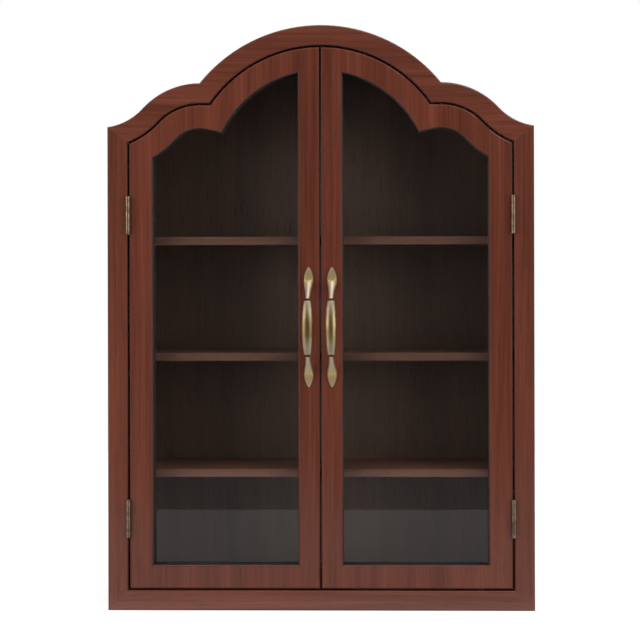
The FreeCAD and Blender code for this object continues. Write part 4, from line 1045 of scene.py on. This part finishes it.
@dataclass
class Screws:
    """Screws of one CAD piece: one turned, threaded and slotted, then copied to each seat."""

    shop: Workshop
    node: str
    body: str
    shape: ScrewShape
    seats: tuple[Seat, ...]
    facets: int = 20
    level: float = 0.9
    dome: float = 0.55
    dome_steps: int = 4
    slot_depth: float = 0.55
    slot_width: float = 0.26
    first_turn: float = 0.7
    next_turn: float = 1.9
    smooth_angle: float = math.radians(40.0)

    def build(self) -> None:
        """Turn one screw, copy it to every seat and join the copies."""
        first = self._turned()
        self._slotted(first)
        copies = [self._set_in(first, number) for number in range(len(self.seats))]
        deselect()
        first.select_set(True)
        bpy.ops.object.delete()
        for copy in copies:
            copy.select_set(True)
        bpy.context.view_layer.objects.active = copies[0]
        if len(copies) > 1:
            bpy.ops.object.join()
        joined = bpy.context.active_object
        joined.name = f"{self.node}_driven"
        settle(self.smooth_angle)
        joined.data.materials.append(self.shop.once(self.shape.finish))
        self.shop.stand_in(joined, self.body, self.shape.finish.name, self.node)

    def _turned(self) -> Mesh:
        """Head and threaded shank, pointing down from the origin.

        Returns:
            The plain screw.
        """
        shape = self.shape
        flat = shape.head is Head.FLAT
        under = shape.radius if flat else shape.head_radius
        deselect()
        bpy.ops.mesh.primitive_cone_add(
            vertices=self.facets, radius1=under * MM, radius2=shape.head_radius * MM,
            depth=shape.head_height * MM, location=(0.0, 0.0, -shape.head_height * MM / 2),
        )
        screw = bpy.context.active_object
        apply_place()
        if not flat:
            self._domed(screw)
        pick_faces(screw, lambda face: face.normal.z < -self.level)
        if not flat:
            bpy.ops.mesh.inset(thickness=(shape.head_radius - shape.radius) * MM)
        self._threaded()
        set_mode("OBJECT")
        return screw

    def _domed(self, screw: Mesh) -> None:
        """Round the rim of a pan head."""
        pick_faces(screw, lambda face: face.normal.z > self.level)
        rim = self.dome * self.shape.head_height * MM
        bpy.ops.mesh.bevel(offset=rim, segments=self.dome_steps, affect="EDGES")
        set_mode("OBJECT")

    def _threaded(self) -> None:
        """Draw the shank down in ridges, then to its point."""
        shape = self.shape
        depth = shape.head_height * MM
        root = 1.0 - shape.thread
        ridges = int((shape.length - 2 * shape.pitch) / shape.pitch)
        point = shape.length - ridges * shape.pitch
        self._draw_down(0.0, root, depth)
        for _ in range(ridges):
            depth = self._draw_down(shape.pitch / 2, 1.0 / root, depth)
            depth = self._draw_down(shape.pitch / 2, root, depth)
        self._draw_down(point, shape.tip, depth)

    def _draw_down(self, step: float, scale: float, depth: float) -> float:
        """Extrude the picked end of the shank and scale it.

        Args:
            step: how far down, in millimetres.
            scale: the new end's size as a share of the old one's.
            depth: how far down the old end is, in metres.

        Returns:
            How far down the new end is, in metres.
        """
        bpy.ops.mesh.extrude_region_move(TRANSFORM_OT_translate={"value": (0.0, 0.0, -step * MM)})
        depth += step * MM
        bpy.ops.transform.resize(value=(scale, scale, 1.0), center_override=(0.0, 0.0, -depth))
        return depth

    def _slotted(self, screw: Mesh) -> None:
        """Cut the slots of the drive into the head."""
        radius = self.shape.head_radius
        deep = self.slot_depth * self.shape.head_height * MM
        turns, reach = self.shape.drive.value
        for turn in turns:
            deselect()
            bpy.ops.mesh.primitive_cube_add(size=1.0, rotation=(0.0, 0.0, turn))
            blade = bpy.context.active_object
            blade.scale = (reach * radius * MM, self.slot_width * radius * MM, 2 * deep)
            apply_place()
            cut_away(screw, blade)

    def _set_in(self, first: Mesh, number: int) -> Mesh:
        """Copy of the first screw at one seat, turned on its own axis as it was driven.

        Args:
            first: the finished screw.
            number: which seat.

        Returns:
            The copy.
        """
        place, heading = self.seats[number]
        deselect()
        first.select_set(True)
        bpy.context.view_layer.objects.active = first
        bpy.ops.object.duplicate(linked=False)
        copy = bpy.context.active_object
        copy.rotation_euler = (0.0, 0.0, self.first_turn + self.next_turn * number)
        apply_place()
        copy.rotation_euler = heading.value
        copy.location = tuple(MM * part for part in place)
        apply_place()
        return copy


def column(side: Side, spot: Pair, heights: Iterable[float], heading: Heading) -> tuple[Seat, ...]:
    """Seats of screws one above the other.

    Args:
        side: the side of the cabinet.
        spot: how far out from the middle, and Y.
        heights: the height of each seat.
        heading: the way that the screws go in.

    Returns:
        The seats.
    """
    out, forward = spot
    return tuple(((side.value * out, forward, height), heading) for height in heights)


@dataclass
class Fastenings:
    """Every screw of the cabinet. Spots are X at the right side and Y, in millimetres."""

    shop: Workshop
    hinge_heights: tuple[float, ...] = (-349.0, -327.0, -46.5, -24.5)
    frame_leaf: Pair = (192.1, -119.0)
    door_leaf: Pair = (191.9, -119.0)
    pull: Pair = (11.6, -107.0)
    pull_heights: Pair = (-195.3, -99.3)
    strike: Pair = (13.0, -107.8)
    strike_heights: tuple[float] = (-398.5,)
    hanger: Pair = (150.0, 0.0)
    hanger_heights: Pair = (-10.0, 24.0)
    rail: Pair = (202.0, -3.0)
    rail_heights: Pair = (-21.0, 28.0)
    catch: Pair = (25.0, -100.2)
    catch_heights: tuple[float] = (-394.0,)

    def build(self) -> None:
        """Drive in every set."""
        self._hinges()
        for side in Side:
            self._door(side)
        self._carcass()

    def _drive(self, node: str, body: str, shape: ScrewShape, seats: Iterable[Seat]) -> None:
        """Drive in one set."""
        Screws(self.shop, node, body, shape, tuple(seats)).build()

    def _hinges(self) -> None:
        """A set in the frame, driven outwards, and a set in each door, driven inwards."""
        heights = self.hinge_heights
        seats = [seat for side in Side for seat in column(side, self.frame_leaf, heights, Heading[side.name])]
        self._drive("frame_hinge_screws", "cabinet", HINGE_SCREW, seats)
        for side in Side:
            inwards = Heading[Side(-side.value).name]
            seats = column(side, self.door_leaf, heights, inwards)
            self._drive(f"{side.word}_door_hinge_screws", f"{side.word}_door", HINGE_SCREW, seats)

    def _door(self, side: Side) -> None:
        """Machine screws of a door's pull, and the screw of its strike plate."""
        for name, shape, spot, heights in (
            ("pull_screws", PULL_SCREW, self.pull, self.pull_heights),
            ("strike_screw", STRIKE_SCREW, self.strike, self.strike_heights),
        ):
            seats = column(side, spot, heights, Heading.FORWARD)
            self._drive(f"{side.word}_{name}", f"{side.word}_door", shape, seats)

    def _carcass(self) -> None:
        """Screws of the hangers, the hanging rails and the catch."""
        for node, shape, spot, heights, heading in (
            ("hanger_screws", HANGER_SCREW, self.hanger, self.hanger_heights, Heading.FORWARD),
            ("rail_screws", RAIL_SCREW, self.rail, self.rail_heights, Heading.FORWARD),
            ("catch_screws", CATCH_SCREW, self.catch, self.catch_heights, Heading.DOWN),
        ):
            seats = [seat for side in Side for seat in column(side, spot, heights, heading)]
            self._drive(node, "cabinet", shape, seats)


@dataclass
class Opening:
    """Glazed opening of the doors, whose inner faces are painted dark as shade."""

    behind_face: float = 0.3 * MM
    past_glass: float = 0.1 * MM
    bead_depth: float = 5.0 * MM

    def reveals(self) -> dict[str, Box]:
        """Boxes that are painted dark as shade: before the glass on the door frames, close behind it on the
        beads.
        """
        low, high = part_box("right_glass_pane")
        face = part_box("right_door_frame")[0].y
        before = (low.x, face + self.behind_face, low.z), (high.x, low.y + self.past_glass, high.z)
        behind = (low.x, low.y, low.z), (high.x, high.y + self.bead_depth, high.z)
        boxes = {}
        for side in Side:
            boxes[f"{side.word}_door_frame"] = before
            boxes[f"{side.word}_glazing_bead"] = behind
        return boxes


@dataclass(frozen=True)
class Lamp:
    """Soft lamp with a flat face."""

    title: str
    place: Place
    size: Pair
    watts: float
    target: Place = (0.0, -0.1, -0.1)


@dataclass
class Studio:
    """Floor, lamps, white surround and camera."""

    surround_fill: float = 0.45
    mirrored: float = 0.6
    matte: float = 0.9
    floor_reach: float = 0.63
    floor_half_width: float = 1.6
    floor_behind: float = 1.2
    floor_tone: float = 0.66
    white: float = 0.66
    glow_strip: Pair = (0.55, 0.60)
    glow: float = 0.65
    dark_out: float = 2.6
    dark_rise: float = 0.36
    dark_size: Pair = (6.0, 2.54)
    dark_tone: float = 0.01
    grey_width: float = 3.2
    grey_reach: float = 0.42
    grey_tone: float = 0.2
    camera_right: float = 0.095
    camera_height: float = -0.1
    camera_out: float = 1.585
    camera_turn: float = math.radians(1.1)
    camera_roll: float = math.radians(0.13)
    lens: float = 82.4
    sensor: float = 36.0
    shift: Pair = (-0.1056, -0.0633)
    lamps: tuple[Lamp, ...] = (
        Lamp("key", (-2.1, -1.5, 0.0), (1.8, 1.4), 33.5),
        Lamp("fill", (2.0, -1.45, 0.05), (1.8, 1.4), 26.0),
        Lamp("overhead", (0.3, -0.5, 1.8), (2.0, 1.6), 16.0, (0.2, -0.5, -0.4)),
        Lamp("edge", (0.7, -1.86, 0.91), (0.14, 0.14), 1.8),
    )

    def build(self, underside: float, glass_front: float) -> None:
        """Set up the whole studio.

        Args:
            underside: height that the cabinet stands at.
            glass_front: Y of the panes' front face.
        """
        self._surround()
        self._floor(underside, glass_front)
        self._cards(underside, glass_front)
        for lamp in self.lamps:
            self._hang(lamp)
        self._camera()

    def _surround(self) -> None:
        """World that is white to look at, paler grey in mirrors, and a soft fill for everything else."""
        world = bpy.data.worlds.new("surround")
        bpy.context.scene.world = world
        world.use_nodes = True
        bench = NodeBench(world.node_tree)
        path = bench.add("LightPath").outputs
        seen = bench.math("MAXIMUM", path["Is Camera Ray"], path["Is Transmission Ray"])
        strength = bench.span(seen, 0.0, 1.0, self.surround_fill, 1.0)
        mirrored = bench.math("MULTIPLY", path["Is Glossy Ray"], self.mirrored)
        background = bench.find("BACKGROUND")
        bench.feed(background.inputs["Color"], WHITE)
        bench.feed(background.inputs["Strength"], bench.math("MAXIMUM", strength, mirrored))

    @staticmethod
    def _sheet(title: str, place: Place, size: Pair, tilt: float = 0.0) -> Mesh:
        """Flat sheet with its middle at a place, raised by a tilt from lying flat."""
        deselect()
        bpy.ops.mesh.primitive_plane_add(size=1.0, location=place, rotation=(tilt, 0.0, 0.0))
        sheet = bpy.context.active_object
        sheet.name = title
        sheet.scale = (*size, 1.0)
        apply_place()
        return sheet

    def _floor(self, underside: float, glass_front: float) -> None:
        """Pale floor, white to look at apart from the cabinet's shadow."""
        front = glass_front - self.floor_reach
        middle = (front + self.floor_behind) / 2
        size = (2 * self.floor_half_width, self.floor_behind - front)
        floor = self._sheet("floor", (0.0, middle, underside), size)
        material, bench, shader = new_material("pale_floor")
        bench.feed(shader.inputs["Base Color"], (self.floor_tone,) * 3)
        bench.feed(shader.inputs["Roughness"], self.matte)
        bench.feed(shader.inputs["Emission Color"], WHITE)
        path = bench.add("LightPath").outputs
        looked_at = bench.math("MAXIMUM", path["Is Camera Ray"], self._through_glass(bench))
        forward = bench.add("SeparateXYZ", {0: place_on_piece(bench)}).outputs["Y"]
        start, end = self.glow_strip
        glow = bench.span(forward, front + start, front + end, 0.0, self.glow)
        clear = bench.math("LESS_THAN", path["Diffuse Depth"], HALF)
        mirrored = bench.math("MULTIPLY", bench.math("MULTIPLY", path["Is Glossy Ray"], clear), glow)
        strength = bench.math("MAXIMUM", bench.math("MULTIPLY", looked_at, self.white), mirrored)
        bench.feed(shader.inputs["Emission Strength"], strength)
        floor.data.materials.append(material)
        floor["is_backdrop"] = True

    @staticmethod
    def _through_glass(bench: NodeBench) -> Socket:
        """One where the camera looks straight through clear glass, and nought elsewhere."""
        path = bench.add("LightPath").outputs
        bounces = bench.math("ADD", path["Diffuse Depth"], path["Glossy Depth"])
        return bench.math("MULTIPLY", path["Is Transmission Ray"], bench.math("LESS_THAN", bounces, HALF))

    def _cards(self, underside: float, glass_front: float) -> None:
        """Dark card behind the camera and a grey one on the ground before it; only reflections see them."""
        behind = (0.0, -self.dark_out, underside + self.dark_rise)
        before = (0.0, glass_front - self.floor_reach - self.grey_reach / 2, underside)
        self._card(self._sheet("dark_card", behind, self.dark_size, QUARTER_TURN), self.dark_tone)
        self._card(self._sheet("grey_card", before, (self.grey_width, self.grey_reach)), self.grey_tone)

    def _card(self, card: Mesh, tone: float) -> None:
        """Make a sheet a card of a grey tone that only reflections see."""
        material, bench, shader = new_material(card.name)
        bench.feed(shader.inputs["Base Color"], (tone,) * 3)
        bench.feed(shader.inputs["Roughness"], self.matte)
        let_through(bench, shader, self._through_glass(bench))
        card.data.materials.append(material)
        for ray in ("camera", "diffuse", "volume_scatter", "shadow"):
            setattr(card, f"visible_{ray}", False)
        card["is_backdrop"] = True

    @staticmethod
    def _hang(lamp: Lamp) -> None:
        """Hang a lamp at its place, facing its target."""
        data = bpy.data.lights.new(lamp.title, "AREA")
        data.shape = "RECTANGLE"
        data.size, data.size_y = lamp.size
        data.energy = lamp.watts
        hung = bpy.data.objects.new(lamp.title, data)
        hung.location = lamp.place
        way = Vector(lamp.target) - Vector(lamp.place)
        hung.rotation_euler = way.to_track_quat("-Z", "Y").to_euler()
        bpy.context.scene.collection.objects.link(hung)

    def _camera(self) -> None:
        """Camera a little right of the middle, level, with the picture shifted to the cabinet."""
        data = bpy.data.cameras.new("camera")
        data.lens = self.lens
        data.sensor_width = self.sensor
        data.shift_x, data.shift_y = self.shift
        camera = bpy.data.objects.new("camera", data)
        camera.location = (self.camera_right, -self.camera_out, self.camera_height)
        camera.rotation_euler = (QUARTER_TURN, self.camera_roll, self.camera_turn)
        bpy.context.scene.collection.objects.link(camera)
        bpy.context.scene.camera = camera


def assemblies(shop: Workshop) -> list[Boards | Hardware | Pull | Fastenings]:
    """Every sub-assembly of the cabinet, in building order."""
    across, upright = Grain.ACROSS, Grain.UPRIGHT
    hinges = [
        f"{side.word}_{end}_hinge_{leaf}_leaf"
        for side in Side for end in ("upper", "lower") for leaf in ("frame", "door")
    ]
    small = ("hanger_plate", "bead_pins", "strike_plate")
    plates = [f"{side.word}_{name}" for side in Side for name in small]
    return [
        # painted light: bottom rail drawn lighter, as lit from the floor below; painted shade: right stile
        # drawn darker
        Boards(shop, FRAME_WOOD, {
            "frame_top_rail": across, "frame_right_stile": upright, "frame_left_stile": upright,
            "frame_bottom_rail": across,
        }, first_cut=0.0, tones={"frame_bottom_rail": 1.22, "frame_right_stile": 0.94}),
        Boards(shop, CARCASS_WOOD, {
            "right_side_panel": upright, "left_side_panel": upright, "bottom_panel": across,
            "roof_arch": across, "right_roof_shoulder": across, "left_roof_shoulder": across,
            "hanging_lower_rail": across, "hanging_upper_rail": across,
        }, first_cut=11.0),
        Boards(shop, BACK_WOOD, {"back_panel": upright}, first_cut=31.0),
        # painted light: lower shelf drawn lighter, as lit from below; painted shade: upper shelf drawn darker
        Boards(shop, SHELF_WOOD, {
            "lower_shelf": across, "middle_shelf": across, "upper_shelf": across,
        }, first_cut=37.0, tones={"lower_shelf": 1.3, "upper_shelf": 0.96}),
        # painted light: right door frame drawn lighter, to match the left door's stronger light
        Boards(shop, DOOR_WOOD, {
            "right_door_frame": upright, "left_door_frame": upright, "right_glazing_bead": upright,
            "left_glazing_bead": upright,
        }, first_cut=47.0, tones={"right_door_frame": 1.06}, reveals=Opening().reveals()),
        Boards(shop, BEECH, {
            "frame_dowels": Grain.INWARD, "frame_mitre_dowels": across, "bottom_dowels": across,
        }, first_cut=61.0),
        Hardware(shop, CLEAR_GLASS, ["right_glass_pane", "left_glass_pane"]),
        Pull(shop, Side.RIGHT),
        Pull(shop, Side.LEFT),
        Hardware(shop, BRONZE, [*hinges, "hinge_pins"]),
        Hardware(shop, ZINC, ["back_brads", *plates]),
        Hardware(shop, BROWN_PLASTIC, ["catch_housing"]),
        Hardware(shop, FERRITE, ["catch_magnets"]),
        Fastenings(shop),
    ]


def main() -> None:
    """Load the frame, dress every piece and set up the studio."""
    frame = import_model()
    cad_low, cad_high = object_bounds()
    deselect()
    bpy.context.scene.view_settings.view_transform = "Standard"
    shop = Workshop(frame)
    for assembly in assemblies(shop):
        assembly.build()
    Studio().build(cad_low.z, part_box("right_glass_pane")[0].y)


if __name__ == "__main__":
    logging.basicConfig(level=logging.INFO, format="%(name)s: %(message)s")
    main()
